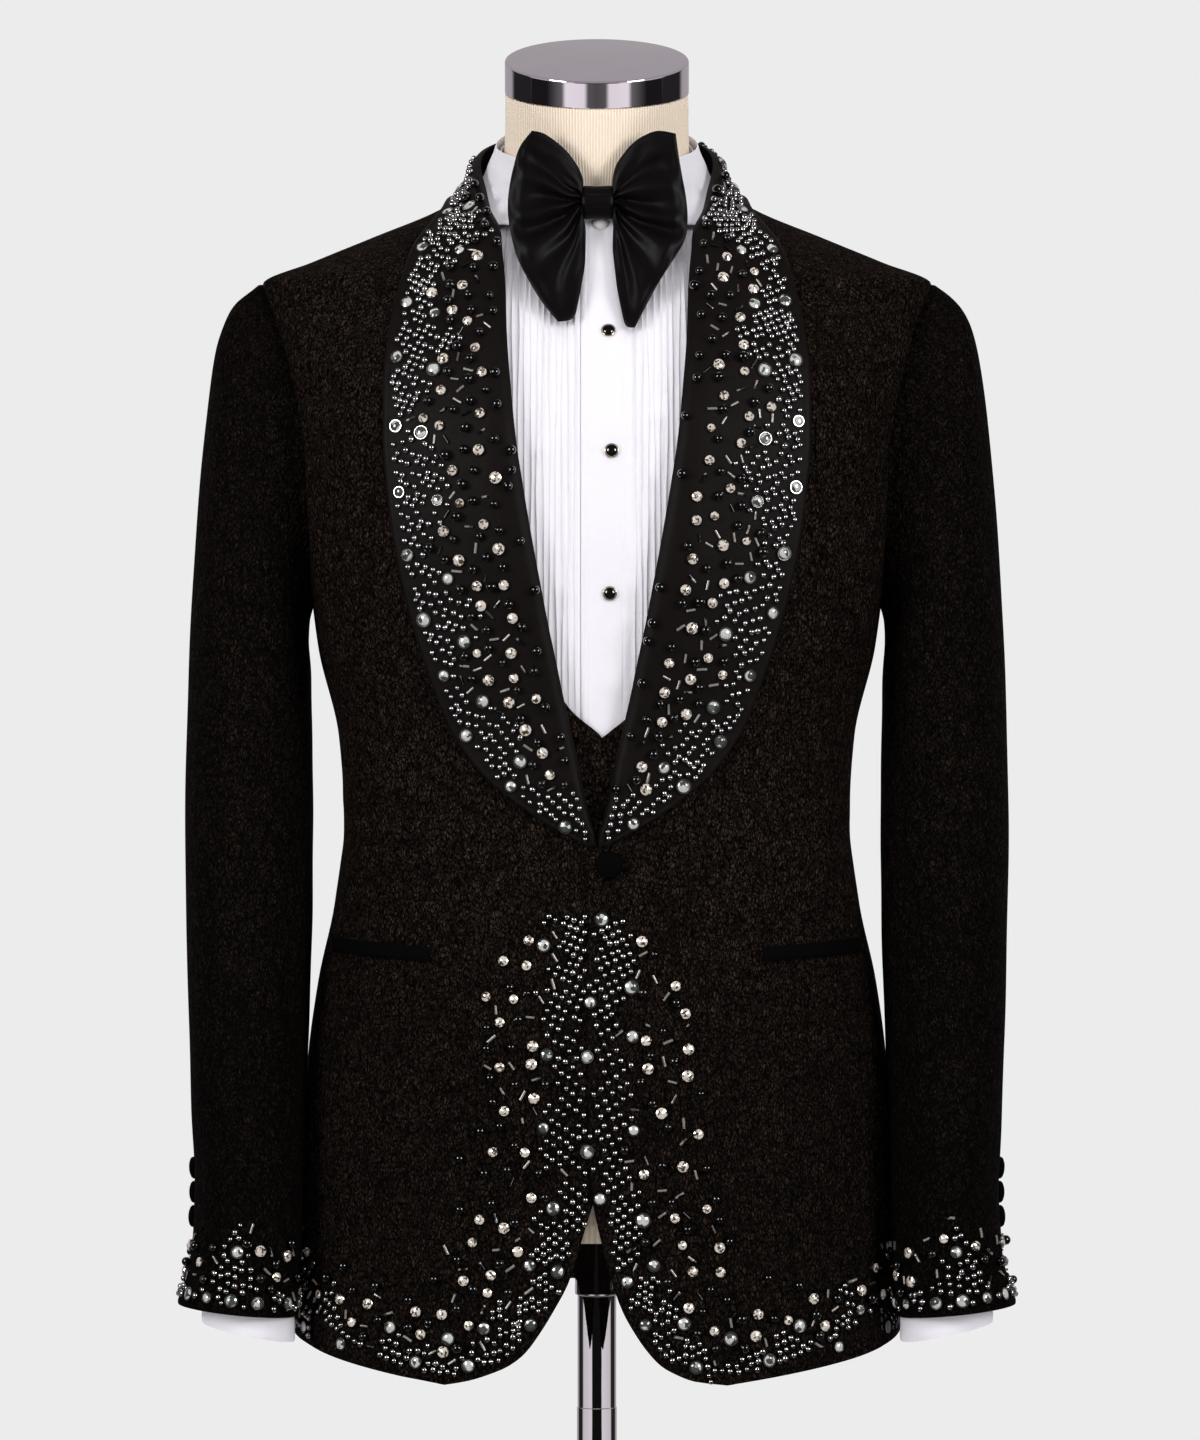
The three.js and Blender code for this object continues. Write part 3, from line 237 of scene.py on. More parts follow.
SHIRT_LOW = 540
SHIRT_TOP = 1052
COLLAR_BAND = {"outer": 8.7, "inner": 10.1, "low": 1052.4, "front": 1069.5, "under_fold": 3}
COLLAR_LEAF = {
    "from": 15, "front": 1086, "side_rise": 7, "back_rise": 4, "edge_front": 1047, "edge_back": 1057,
    "fold_depth": 5.4, "edge_depth": 2.6, "wall": 1.2, "over": 2.4,
}
VEST_V = table(
    "z x", (500, 0), (715.5, 0), (717.5, 2.2), (733.5, 21), (760, 36), (850, 52), (950, 66), (1004, 72), (1040, 80),
)
VEST_V_CENTRE = 4
VEST_LOW = 540
VEST_TOP = 1034
VEST_POINT = 716
VEST_LAP = 6.5
VEST_BACK_SHARE = 0.6
VEST_ARMHOLE = table(
    "z spread", (500, 0), (790, 0), (850, 19), (900, 32), (960, 33), (1004, 20), (1018, 8), (1034, 0),
)
BOW_CENTRE = (0.5, -49.8, 1053.4)
BOW_LEAN = 7.5
BOW_TOP = {
    "left": ((9.1, 9), (9.5, 15.2), (11.3, 22.7), (16, 30.1), (21.6, 36.6), (29, 41.8), (38.4, 44.9), (49.4, 43.1)),
    "right": ((9.1, 9), (9.3, 15), (11.9, 21.5), (15.6, 27.3), (20.3, 33), (26.8, 38.5), (34.2, 43.3), (41.5, 45)),
}
BOW_OUTER = {
    "left": (
        (49.4, 43.1), (51.2, 29.5), (53.6, 15.5), (56, 2), (56.9, -12), (55, -24.5), (47.8, -37), (39.5, -50),
        (31.6, -64.5), (23.4, -80.5),
    ),
    "right": (
        (41.5, 45), (49.3, 34.5), (53.3, 21.5), (56, 8), (56.8, -6), (54.9, -20), (50.6, -36), (43.6, -50),
        (34.8, -64.5), (24.9, -76.8),
    ),
}
BOW_LOW = {
    "left": (
        (9.1, -10), (9.7, -16), (9.5, -29.4), (10.8, -43), (12.4, -56), (14.6, -67.5), (17.6, -79), (23.4, -80.5),
    ),
    "right": (
        (9.1, -10), (7.6, -16), (7.6, -29.4), (8.2, -42), (10, -52), (11.9, -62.8), (15.3, -74.3), (24.9, -76.8),
    ),
}
BOW_THICK = {"root": 3.6, "edge": 1.1, "belly": 3.4}
BOW_CHEST = {"from": 1038, "slope": 0.45, "ease": 16}
KNOT = {"width": 19.4, "height": 21.4, "depth": 11.6, "pinch": 0.02}
TIE_BAND = {"low": 1060, "high": 1069, "outer": 4.9, "inner": 6.3}
FORM_BOTTOM = 398
FORM_TOP = 1126
FORM_DEPTH = table(
    "z depth", (398, 15), (1004, 15), (1018, 13.4), (1034, 12.6), (1050, 12), (1080, 11.7), (1130, 11.4),
)
CAP = {"radius": 58.8, "height": 20.2, "dome": 3.2, "lean": 3.4}
NECK = {"lean": 0.249, "from": 1.083, "mid": 0.013, "ribs": 196, "loops": 5200}
NECK_TILT = 14
COTTON_WEAVE = 9500
POLE_RADIUS = 12.75
SOCKET = {"radius": 14.1, "low": 357, "high": 397.7}
BASE = {"radius": 170, "thick": 9, "rise": 8, "hub": 24, "hub_top": 34}

# Soft drags and hollows of the jacket: side is 1 for the wearer's left, -1 for the right and 0 for both.
# Each runs from one turn and height to another, in degrees and millimetres.
BODY_FOLDS = table(
    "side turn_1 z_1 turn_2 z_2 width lift",
    (1, 4, 640, 34, 668, 9, 1.0),
    (1, 6, 630, 40, 628, 10, -0.9),
    (-1, 5, 641, 30, 660, 8, 0.9),
    (-1, 5, 628, 36, 612, 11, -0.8),
    (0, 58, 655, 84, 648, 7, -1.2),
    (1, 54, 676, 80, 668, 8, 1.2),
    (-1, 56, 672, 82, 676, 7, 1.1),
    (1, 30, 330, 34, 520, 17, 1.6),
    (1, 47, 345, 45, 500, 14, -1.3),
    (-1, 26, 330, 31, 480, 15, 1.4),
    (-1, 43, 340, 42, 540, 16, -1.2),
    (0, 70, 350, 68, 540, 15, 1.7),
    (0, 60, 770, 66, 880, 9, 2.0),
    (0, 52, 800, 58, 930, 11, -1.2),
    (0, 40, 985, 62, 1004, 8, -0.8),
    (0, 112, 780, 118, 900, 10, 1.9),
    (0, 126, 800, 122, 920, 10, -1.3),
    (1, 128, 690, 160, 706, 9, 1.5),
    (1, 130, 664, 166, 676, 9, -1.5),
    (-1, 126, 684, 158, 692, 8, 1.4),
    (-1, 132, 655, 168, 664, 10, -1.5),
    (0, 138, 365, 142, 560, 19, 1.9),
    (1, 158, 370, 156, 520, 15, -1.5),
    (-1, 160, 370, 163, 560, 17, -1.4),
    (0, 150, 930, 172, 990, 14, -1.2),
)
TURN_LENGTH = 3.0

# Creases of the sleeves, by angle round the sleeve and row down it
SLEEVE_FOLDS = table(
    "side angle_1 row_1 angle_2 row_2 width lift",
    (0, 60, 5.6, 120, 6.3, 9, 1.8),
    (0, 70, 6.2, 135, 6.7, 8, -1.8),
    (1, 50, 6.9, 118, 6.8, 9, 1.6),
    (-1, 40, 7.1, 112, 6.6, 9, 1.7),
    (0, 80, 7.3, 150, 7.5, 9, -1.5),
    (0, 150, 2.6, 195, 4.2, 10, 1.8),
    (0, 40, 1.8, 80, 4.4, 11, -1.5),
    (1, 20, 2.6, 60, 5.2, 12, 1.3),
    (-1, 10, 2.9, 55, 5.6, 13, 1.2),
    (0, -30, 3.4, -50, 6.2, 13, -1.4),
    (0, -60, 4.0, -80, 7.0, 12, 1.4),
    (1, 96, 9.2, 60, 10.6, 12, 1.1),
    (-1, 100, 9.0, 70, 10.4, 12, 1.0),
    (0, 15, 8.6, 30, 10.8, 13, -1.0),
)
ANGLE_LENGTH = 0.85
ROW_LENGTH = 62

# Folds of a bow wing, from the knot outwards: root and tip are places across it, near and far along it
BOW_FOLDS = table(
    "root tip near far width lift",
    (0.26, 0.06, 0.20, 0.85, 0.050, -1.6),
    (0.33, 0.15, 0.06, 1.05, 0.050, -3.0),
    (0.39, 0.25, 0.05, 1.15, 0.055, 2.3),
    (0.45, 0.35, 0.00, 0.90, 0.036, -2.7),
    (0.50, 0.44, 0.00, 1.15, 0.040, 2.6),
    (0.56, 0.53, 0.00, 1.05, 0.036, -3.0),
    (0.61, 0.62, 0.08, 1.15, 0.050, 2.0),
    (0.67, 0.74, 0.12, 1.10, 0.060, -3.0),
    (0.74, 0.84, 0.25, 1.00, 0.050, 1.9),
    (0.80, 0.93, 0.35, 0.95, 0.050, -1.8),
)

ring_at = {key: curve(BODY_RINGS, "z", key) for key in ("half", "front", "back", "mid", "power", "tilt")}
hem_z = curve(HEM, "turn", "z")
neckline_turn = curve(NECKLINE, "z", "turn")
lapel_inner = curve(LAPEL_CHEST, "z", "inner")
lapel_outer = curve(LAPEL_CHEST, "z", "outer")
front_edge = {name: curve(FRONT_EDGE, "z", name) for name in ("left", "right")}
row_at_edge = curve(JACKET_ROWS, "row", "edge")
row_at_side = curve(JACKET_ROWS, "row", "side")
collar_at = {key: curve(LAPEL_COLLAR, "station", key) for key in ("inner_turn", "inner_z", "outer_turn", "outer_z")}
section_lift = curve(LAPEL_SECTION, "across", "lift")
SLEEVE_KEYS = ("outer_x", "outer_z", "inner_x", "inner_z", "mid_y", "half_y")
sleeve_at = {key: curve(SLEEVE_RINGS, "row", key) for key in SLEEVE_KEYS}
cuff_at = {key: curve(CUFF_RINGS, "row", key) for key in SLEEVE_KEYS}
shirt_sleeve_inset = curve(SHIRT_SLEEVE, "row", "inset")
vest_edge = curve(VEST_V, "z", "x")
vest_spread = curve(VEST_ARMHOLE, "z", "spread")
form_depth = curve(FORM_DEPTH, "z", "depth")


# The body's surface, as the part has it


def surface(turn, z):
    sine, cosine = np.sin(turn * DEGREE), np.cos(turn * DEGREE)
    power = ring_at["power"](z)
    reach = (np.abs(sine) ** power + np.abs(cosine) ** power) ** (-1 / power)
    along = -cosine * reach * np.where(cosine > 0, ring_at["front"](z), ring_at["back"](z))
    tilt = ring_at["tilt"](z) * DEGREE
    across = ring_at["half"](z) * sine * reach
    return np.stack([across, ring_at["mid"](z) + along * np.cos(tilt), z + along * np.sin(tilt)], -1)


def surface_normal(turn, z):
    around = surface(turn + 0.5, z) - surface(turn - 0.5, z)
    up = surface(turn, z + 1) - surface(turn, z - 1)
    normal = np.cross(around, up)
    return normal / np.linalg.norm(normal, axis=-1, keepdims=True)


def body(turn, z, depth, side=1):
    depth = np.broadcast_to(np.asarray(depth, dtype=float), np.shape(turn))
    points = surface(turn, z) - surface_normal(turn, z) * depth[..., None]
    points[..., 0] *= side
    return points


def turn_at(x, z):
    power = ring_at["power"](z)
    sine = np.minimum(1, np.abs(x) / ring_at["half"](z))
    cosine = (1 - sine**power) ** (1 / power)
    return np.sign(x) * np.arctan2(sine, cosine) / DEGREE


def armhole_turn(hole, z, share):
    height = np.minimum(1, np.abs((z - hole["z"]) / hole["rise"]))
    return 90 + share * hole["spread"] * np.sqrt(1 - height * height)


def side_turn(z, low, share):
    top = armhole_turn(ARMHOLE, ARMHOLE_SEAM_Z, share)
    spread = (z - SEAM_SPREAD_FROM) / (ARMHOLE_SEAM_Z - SEAM_SPREAD_FROM)
    below = blend(low, top, smooth(spread))
    above = np.where(z >= SHOULDER_Z, 90, armhole_turn(ARMHOLE, z, share))
    return np.where(z >= ARMHOLE_SEAM_Z, above, below)


def creases(rows, side, across, up, keys, scale):
    """How far soft folds lift the cloth, from a table of lines with a width and a lift."""
    total = np.zeros(np.shape(across))
    for i in range(len(rows["lift"])):
        if rows["side"][i] not in (0, side):
            continue
        start = np.array([rows[keys[0]][i] * scale[0], rows[keys[1]][i] * scale[1]])
        end = np.array([rows[keys[2]][i] * scale[0], rows[keys[3]][i] * scale[1]])
        line = end - start
        place = ((across - start[0]) * line[0] + (up - start[1]) * line[1]) / line.dot(line)
        near = np.clip(place, 0, 1)
        bend = 0.06 * np.linalg.norm(line) * np.sin(math.pi * near)
        away_x = across - start[0] - line[0] * near
        away_y = up - start[1] - line[1] * near
        sideways = (away_x * line[1] - away_y * line[0]) / np.linalg.norm(line) - bend
        past = np.abs(place - near) * np.linalg.norm(line)
        fade = np.sin(math.pi * np.clip(blend(0.12, 0.88, near), 0, 1))
        total = total + rows["lift"][i] * fade * np.exp(-((sideways / rows["width"][i]) ** 2) - (past / 14) ** 2)
    return total


def body_lift(turn, z, side):
    keys = ("turn_1", "z_1", "turn_2", "z_2")
    lift = creases(BODY_FOLDS, side, turn * TURN_LENGTH, z, keys, (TURN_LENGTH, 1))
    drift = np.sin(turn * 0.17 + side + z * 0.021) * np.sin(z * 0.037 + 2 * side + turn * 0.05)
    return lift + 0.35 * drift


# Grids of cloth and the meshes made from them


def spread(count, edge=1.2, length=200):
    """Places from 0 to 1 with two more close to each end, so that an edge can be rounded."""
    inner = np.linspace(0, 1, count + 1)[1:-1]
    near = edge / length
    return np.concatenate([[0, near * 0.35, near], inner, [1 - near, 1 - near * 0.35, 1]])


def grid(across, up):
    return np.meshgrid(across, up)


def run_along(points, axis):
    steps = np.linalg.norm(np.diff(points, axis=axis), axis=-1)
    start = np.zeros_like(np.take(steps, [0], axis=axis))
    return np.concatenate([start, np.cumsum(steps, axis=axis)], axis=axis)


def grid_normals(points):
    normal = np.cross(np.gradient(points, axis=1), np.gradient(points, axis=0))
    return normal / np.maximum(np.linalg.norm(normal, axis=-1, keepdims=True), 1e-9)


def edge_distance(points, closed):
    run = run_along(points, 0)
    near = np.minimum(run, run[-1:] - run)
    if not closed:
        run = run_along(points, 1)
        near = np.minimum(near, np.minimum(run, run[:, -1:] - run))
    return near


def bell(value, middle, width):
    """A soft hump of height 1 about a middle."""
    return np.exp(-(((value - middle) / width) ** 2))


def rounded(outer, inner, closed):
    pull = (ROUNDING * bell(edge_distance(outer, closed), 0, ROUNDING_REACH))[..., None]
    return outer + (inner - outer) * pull, inner + (outer - inner) * pull


def wall_faces(rows, columns, closed):
    count = columns if closed else columns + 1
    i, j = np.meshgrid(np.arange(rows), np.arange(columns), indexing="ij")
    a = i * count + j
    b = i * count + (j + 1) % count
    c, d = b + count, a + count
    inside = (rows + 1) * count
    outer = np.stack([a, b, c, d], -1).reshape(-1, 4)
    inner = np.stack([a, d, c, b], -1).reshape(-1, 4) + inside
    j = np.arange(columns)
    first, second = j, (j + 1) % count
    low = np.stack([second, first, first + inside, second + inside], -1)
    top = rows * count
    high = np.stack([first + top, second + top, second + top + inside, first + top + inside], -1)
    faces = [outer, inner, low, high]
    if not closed:
        i = np.arange(rows)
        a, d = i * count, (i + 1) * count
        faces.append(np.stack([a, d, d + inside, a + inside], -1))
        b, c = i * count + columns, (i + 1) * count + columns
        faces.append(np.stack([c, b, b + inside, c + inside], -1))
    return np.concatenate(faces)


def outward(points, faces):
    a, b, c, d = (points[faces[:, k]] for k in range(4))
    volume = np.einsum("ij,ij->", a, np.cross(b, c)) + np.einsum("ij,ij->", a, np.cross(c, d))
    return faces if volume > 0 else faces[:, ::-1]


def new_mesh(name, points, faces, finish, sharp):
    mesh = bpy.data.meshes.new(name)
    mesh.from_pydata((np.asarray(points) * MM).tolist(), [], [list(map(int, face)) for face in faces])
    mesh.validate()
    mesh.shade_smooth()
    mesh.set_sharp_from_angle(angle=math.radians(sharp))
    mesh.materials.append(finish)
    piece = bpy.data.objects.new(name, mesh)
    bpy.context.scene.collection.objects.link(piece)
    return piece


def lay_cut(piece, grid_points):
    """A UV map of the piece's flat cut, in metres."""
    flat = np.stack([run_along(grid_points, 1), run_along(grid_points, 0)], -1).reshape(-1, 2) * MM
    layer = piece.data.uv_layers.new(name="cut")
    corner = np.empty(len(piece.data.loops), dtype=np.int32)
    piece.data.loops.foreach_get("vertex_index", corner)
    layer.data.foreach_set("uv", flat[corner % len(flat)].astype(np.float32).ravel())


def wall(name, outer, inner, finish, closed=False, sharp=50):
    """A thin shell of cloth between two grids of points, with its cut laid out in metres as a UV map."""
    outer, inner = rounded(outer, inner, closed)
    rows, count = outer.shape[0] - 1, outer.shape[1]
    points = np.concatenate([outer.reshape(-1, 3), inner.reshape(-1, 3)])
    faces = outward(points, wall_faces(rows, count if closed else count - 1, closed))
    piece = new_mesh(name, points, faces, finish, sharp)
    lay_cut(piece, outer)
    return piece


def cut_size(outer, closed=False):
    """The flat size of a piece: its greatest width and length, and its area, in metres."""
    if closed:
        outer = np.concatenate([outer, outer[:, :1]], axis=1)
    width = run_along(outer, 1)[:, -1].max() * MM
    length = run_along(outer, 0)[-1].max() * MM
    one = outer[1:, 1:] - outer[:-1, :-1]
    other = outer[1:, :-1] - outer[:-1, 1:]
    area = 0.5 * np.linalg.norm(np.cross(one, other), axis=-1).sum() * MM * MM
    return width, length, min(area, width * length)


def ride(piece, node=None):
    """Rides a piece on the body, and in place of its solid where it has one."""
    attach(piece, "root")
    if node:
        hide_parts(node)


def sew_in(piece, node, outer, closed=False):
    """Rides a cloth piece on the body, in place of its solid, after measuring its cut."""
    width, length, area = cut_size(outer, closed)
    ride(piece, node)


# Finishes: sockets that add and multiply as numbers do, and one way to make any other node


class Reading:
    def __init__(self, finish, socket):
        self.finish, self.socket = finish, socket

    def sum_of(self, operation, *values):
        return self.finish.node("ShaderNodeMath", {"operation": operation}, *values)

    def __add__(self, other):
        return self.sum_of("ADD", self, other)

    def __radd__(self, other):
        return self.sum_of("ADD", other, self)

    def __sub__(self, other):
        return self.sum_of("SUBTRACT", self, other)

    def __rsub__(self, other):
        return self.sum_of("SUBTRACT", other, self)

    def __mul__(self, other):
        return self.sum_of("MULTIPLY", self, other)

    def __rmul__(self, other):
        return self.sum_of("MULTIPLY", other, self)


class Finish:
    def __init__(self, name, **sockets):
        self.material = bpy.data.materials.new(name)
        self.material.use_nodes = True
        self.tree = self.material.node_tree
        self.shader = self.tree.nodes["Principled BSDF"]
        for key, value in sockets.items():
            self.shader.inputs[key.replace("_", " ")].default_value = value

    def node(self, kind, settings, *values, out=0, **named):
        made = self.tree.nodes.new(kind)
        for key, value in settings.items():
            setattr(made, key, value)
        pairs = list(enumerate(values)) + [(key.replace("_", " "), value) for key, value in named.items()]
        for key, value in pairs:
            if isinstance(value, Reading):
                self.tree.links.new(value.socket, made.inputs[key])
            elif value is not None:
                made.inputs[key].default_value = value
        return Reading(self, made.outputs[out])

    def sine(self, value):
        return self.node("ShaderNodeMath", {"operation": "SINE"}, value)

    def stretched(self, vector, scale):
        return self.node("ShaderNodeVectorMath", {"operation": "MULTIPLY"}, vector, scale)

    def grade(self, value, low, high, to_low=0.0, to_high=1.0):
        settings = {"interpolation_type": "SMOOTHSTEP"}
        return self.node("ShaderNodeMapRange", settings, value, low, high, to_low, to_high)

    def mix(self, factor, one, other):
        made = self.node("ShaderNodeMix", {"data_type": "RGBA"}).socket.node
        for index, value in ((0, factor), (6, one), (7, other)):
            if isinstance(value, Reading):
                self.tree.links.new(value.socket, made.inputs[index])
            else:
                made.inputs[index].default_value = value if index == 0 else (*value, 1)
        return Reading(self, made.outputs[2])

    def feed(self, socket, reading):
        self.tree.links.new(reading.socket, self.shader.inputs[socket])

    def places(self):
        return self.node("ShaderNodeTexCoord", {}, out=3)

    def cut(self):
        return self.node("ShaderNodeUVMap", {"uv_map": "cut"})

    def bump(self, height, strength, distance, under=None):
        return self.node("ShaderNodeBump", {}, Strength=strength, Distance=distance, Height=height, Normal=under)


def parts_of(finish, vector):
    made = finish.node("ShaderNodeSeparateXYZ", {}, vector)
    return [Reading(finish, made.socket.node.outputs[k]) for k in range(3)]


def noise(finish, vector, scale, detail=3.0, rough=0.5, out=0):
    return finish.node("ShaderNodeTexNoise", {}, vector, out=out, Scale=scale, Detail=detail, Roughness=rough)


def jacquard_finish(name, shade):
    """Near-black brown cloth with a crackled relief of short upright dashes. Its colour holds painted light: the
    dashes are lighter and the cracks darker, partly from the woven figure; the cloth is painted darker towards the
    bottom as painted shade; and a whole copy is painted darker as painted shade when shade is below 1.
    """
    f = Finish(name, Specular_IOR_Level=0.04)
    place = f.places()
    drift = noise(f, place, 120, 2, 0.6, out=1)
    shift = f.node("ShaderNodeVectorMath", {"operation": "SCALE"}, drift, Scale=0.006)
    moved = f.node("ShaderNodeVectorMath", {"operation": "ADD"}, place, shift)
    tall = f.stretched(moved, (1.0, 1.0, 0.38))
    dash = f.node("ShaderNodeTexVoronoi", {"feature": "DISTANCE_TO_EDGE"}, tall, Scale=640)
    pad = f.grade(dash, 0.03, 0.24)
    wide = f.stretched(moved, (1.0, 1.0, 0.6))
    net = f.node("ShaderNodeTexVoronoi", {"feature": "DISTANCE_TO_EDGE"}, wide, Scale=112)
    crack = f.grade(net, 0.0, 0.16)
    patch = noise(f, place, 75, 3, 0.6)
    cloud = noise(f, place, 9, 2, 0.5)
    fleck = f.grade(noise(f, tall, 820, 2, 0.6), 0.38, 0.68)
    # The dashes are coloured lighter and the cracks darker. This is partly the woven figure and partly painted light:
    # a painted highlight on the raised dashes and painted shade in the cracks.
    raised = pad * (0.42 + 0.58 * crack) * (0.25 + 0.95 * fleck)
    _, _, level = parts_of(f, place)
    # The grade by height darkens the cloth towards the bottom: painted shade.
    light = raised * (0.3 + 1.2 * patch) * (0.75 + 0.4 * cloud) * f.grade(level, 0.42, 0.72, 0.62, 0.96)
    low, high = (0.043, 0.0275, 0.0205), (0.048, 0.0325, 0.0240)
    warm = f.mix(cloud, tuple(shade * c for c in low), tuple(shade * c for c in high))
    f.feed("Base Color", f.mix(light, (0.0007, 0.0005, 0.0004), warm))
    f.feed("Roughness", 0.92 - 0.15 * raised)
    height = 0.6 * raised + 0.9 * crack
    f.feed("Normal", f.bump(height, 0.85, 0.0010))
    return f.material


def satin_finish(name, shade, roughness, weave, depth, shine):
    """Smooth black satin with a very fine rib and soft unevenness."""
    f = Finish(name, Specular_IOR_Level=shine)
    place = f.places()
    across, up, _ = parts_of(f, f.cut())
    rib = f.sine(across * weave)
    float_thread = f.sine(up * (weave * 0.61) + 1.5 * rib)
    cloud = noise(f, place, 38, 4, 0.6)
    fine = noise(f, place, 700, 2, 0.5)
    tone = cloud * 0.7 + fine * 0.3
    f.feed("Base Color", f.mix(tone, tuple(0.75 * c for c in shade), tuple(1.3 * c for c in shade)))
    f.feed("Roughness", roughness + 0.12 * cloud - 0.05 * fine)
    height = 0.5 * rib + 0.3 * float_thread + 1.2 * fine
    f.feed("Normal", f.bump(height, 0.28, depth, f.bump(cloud, 0.35, 0.002)))
    return f.material


def cotton_finish():
    """White dress cotton with a plain weave."""
    f = Finish("cotton", Specular_IOR_Level=0.3, Sheen_Weight=0.15, Sheen_Roughness=0.4)
    place = f.places()
    across, up, _ = parts_of(f, f.cut())
    warp = f.sine(across * COTTON_WEAVE)
    weft = f.sine(up * COTTON_WEAVE)
    slub = noise(f, place, 260, 3, 0.6)
    cloud = noise(f, place, 9, 3, 0.5)
    f.feed("Base Color", f.mix(cloud * 0.6 + slub * 0.4, (0.75, 0.725, 0.79), (0.85, 0.83, 0.87)))
    f.feed("Roughness", 0.72 + 0.12 * slub)
    f.feed("Normal", f.bump(warp * weft + 1.4 * slub, 0.25, 0.0002))
    return f.material


def jersey_finish():
    """Cream jersey with fine upright ribs, with the grooves between the ribs painted darker as painted shade."""
    f = Finish("jersey", Specular_IOR_Level=0.25, Sheen_Weight=0.3, Sheen_Roughness=0.5)
    f.shader.inputs["Sheen Tint"].default_value = (1, 0.93, 0.82, 1)
    place = f.places()
    across, along, height = parts_of(f, place)
    over = f.node("ShaderNodeMath", {"operation": "MAXIMUM"}, height - NECK["from"], 0.0)
    middle = NECK["mid"] - NECK["lean"] * over
    bearing = f.node("ShaderNodeMath", {"operation": "ARCTAN2"}, across, middle - along)
    rib = f.sine(bearing * NECK["ribs"])
    loop = f.sine(height * NECK["loops"])
    cloud = noise(f, place, 24, 4, 0.6)
    # Rib tops get the lighter colour and the grooves between the ribs the darker one: painted shade in the grooves.
    high = f.grade(rib + 0.25 * loop, -1.1, 0.5)
    light = f.mix(cloud, (0.93, 0.79, 0.64), (0.98, 0.86, 0.72))
    f.feed("Base Color", f.mix(high, f.mix(cloud, (0.78, 0.62, 0.46), (0.84, 0.69, 0.53)), light))
    f.feed("Roughness", 0.9 - 0.1 * cloud)
    f.feed("Normal", f.bump(rib + 0.2 * loop, 0.4, 0.0004))
    return f.material


def metal_finish(name, shade, roughness, brushed=0.0, stretch=(1.0, 1.0, 1.0)):
    """Metal with faint clouds of tone, and streaks where it is brushed."""
    f = Finish(name, Metallic=1.0)
    place = f.places()
    long = f.stretched(place, stretch)
    grain = noise(f, long, 900, 3, 0.6)
    cloud = noise(f, place, 18, 3, 0.5)
    f.feed("Base Color", f.mix(cloud, tuple(0.88 * c for c in shade), shade))
    f.shader.inputs["Roughness"].default_value = roughness
    if brushed:
        f.feed("Normal", f.bump(grain, 0.15 * brushed, 0.0002))
    return f.material


def bead_finish(name, dark, light, roughness, metallic=0.0, coat=0.0, cells=300, split=None):
    """A bead's finish, which differs a little from place to place, or falls in two tones where it is split: two kinds
    of bugle, dark and pale patches on the stones' glass, and dark and bright patches on the crystals that are painted
    reflection, a painted sparkle of the facets.
    """
    f = Finish(name, Metallic=metallic, Coat_Weight=coat, Coat_Roughness=0.03, Specular_IOR_Level=0.6)
    place = f.places()
    spot = f.node("ShaderNodeTexVoronoi", {"feature": "F1"}, place, Scale=cells, out=1)
    tint, _, _ = parts_of(f, spot)
    if split:
        tint = f.grade(tint, split - 0.08, split + 0.08)
    f.feed("Base Color", f.mix(tint, dark, light))
    f.feed("Roughness", roughness + 0.05 * tint)
    return f.material


jacquard = jacquard_finish("jacquard", 1.0)
# A darker copy of the jacquard for the sleeves: painted shade over the whole sleeve.
painted_shade_sleeve_jacquard = jacquard_finish("jacquard_painted_shade_sleeves", 0.42)
lapel_satin = satin_finish("lapel_satin", (0.0060, 0.0042, 0.0040), 0.45, 7000, 0.00015, 0.07)
bow_satin = satin_finish("bow_satin", (0.0028, 0.0020, 0.0022), 0.38, 8000, 0.00012, 0.13)
trim_satin = satin_finish("trim_satin", (0.0010, 0.0008, 0.0008), 0.75, 8000, 0.00012, 0.05)
cotton = cotton_finish()
jersey = jersey_finish()
chrome = metal_finish("chrome", (0.78, 0.75, 0.78), 0.0)
steel = metal_finish("polished_steel", (0.80, 0.80, 0.81), 0.0, 0.5, (1.0, 1.0, 0.03))
hematite = bead_finish("hematite", (0.45, 0.45, 0.45), (0.85, 0.84, 0.84), 0.11, 1.0)
black_pearl = bead_finish("black_pearl", (0.0005, 0.0005, 0.0005), (0.001, 0.001, 0.001), 0.05, 0.0, 1.0)
# Near-black and near-white patches, smaller than a crystal, on the champagne glass: painted reflection standing in
# for the facets' sparkle.
champagne_glass = bead_finish("champagne_glass", (0.10, 0.07, 0.05), (1.0, 0.90, 0.80), 0.06, 0.45, 1.0, 780, 0.32)
pale_glass = bead_finish("pale_glass", (0.10, 0.11, 0.10), (0.90, 0.92, 0.87), 0.08, 0.5, 1.0, 270, 0.38)
silver_rim = bead_finish("silver_rim", (0.70, 0.68, 0.64), (0.85, 0.84, 0.80), 0.16, 1.0)
glass_tube = bead_finish("glass_tube", (0.004, 0.004, 0.004), (0.34, 0.32, 0.29), 0.18, 0.5, 0.8, 130, 0.36)
onyx = bead_finish("onyx", (0.002, 0.002, 0.002), (0.003, 0.003, 0.003), 0.05, 0.0, 1.0)
gold_rim = bead_finish("gold_rim", (0.72, 0.58, 0.40), (0.80, 0.66, 0.48), 0.16, 1.0)
clear_button = bead_finish("clear_button", (0.62, 0.60, 0.58), (0.85, 0.83, 0.82), 0.12, 0.0, 1.0)


# Jacket


def front_edge_turn(name, z):
    low = turn_at(front_edge[name](z), z)
    roll = turn_at(lapel_inner(np.minimum(z, SHOULDER_Z)) + ROLL_COVER, z)
    return np.where(z > SHOULDER_Z, neckline_turn(z), np.where(z > ROLL_START, roll, low))


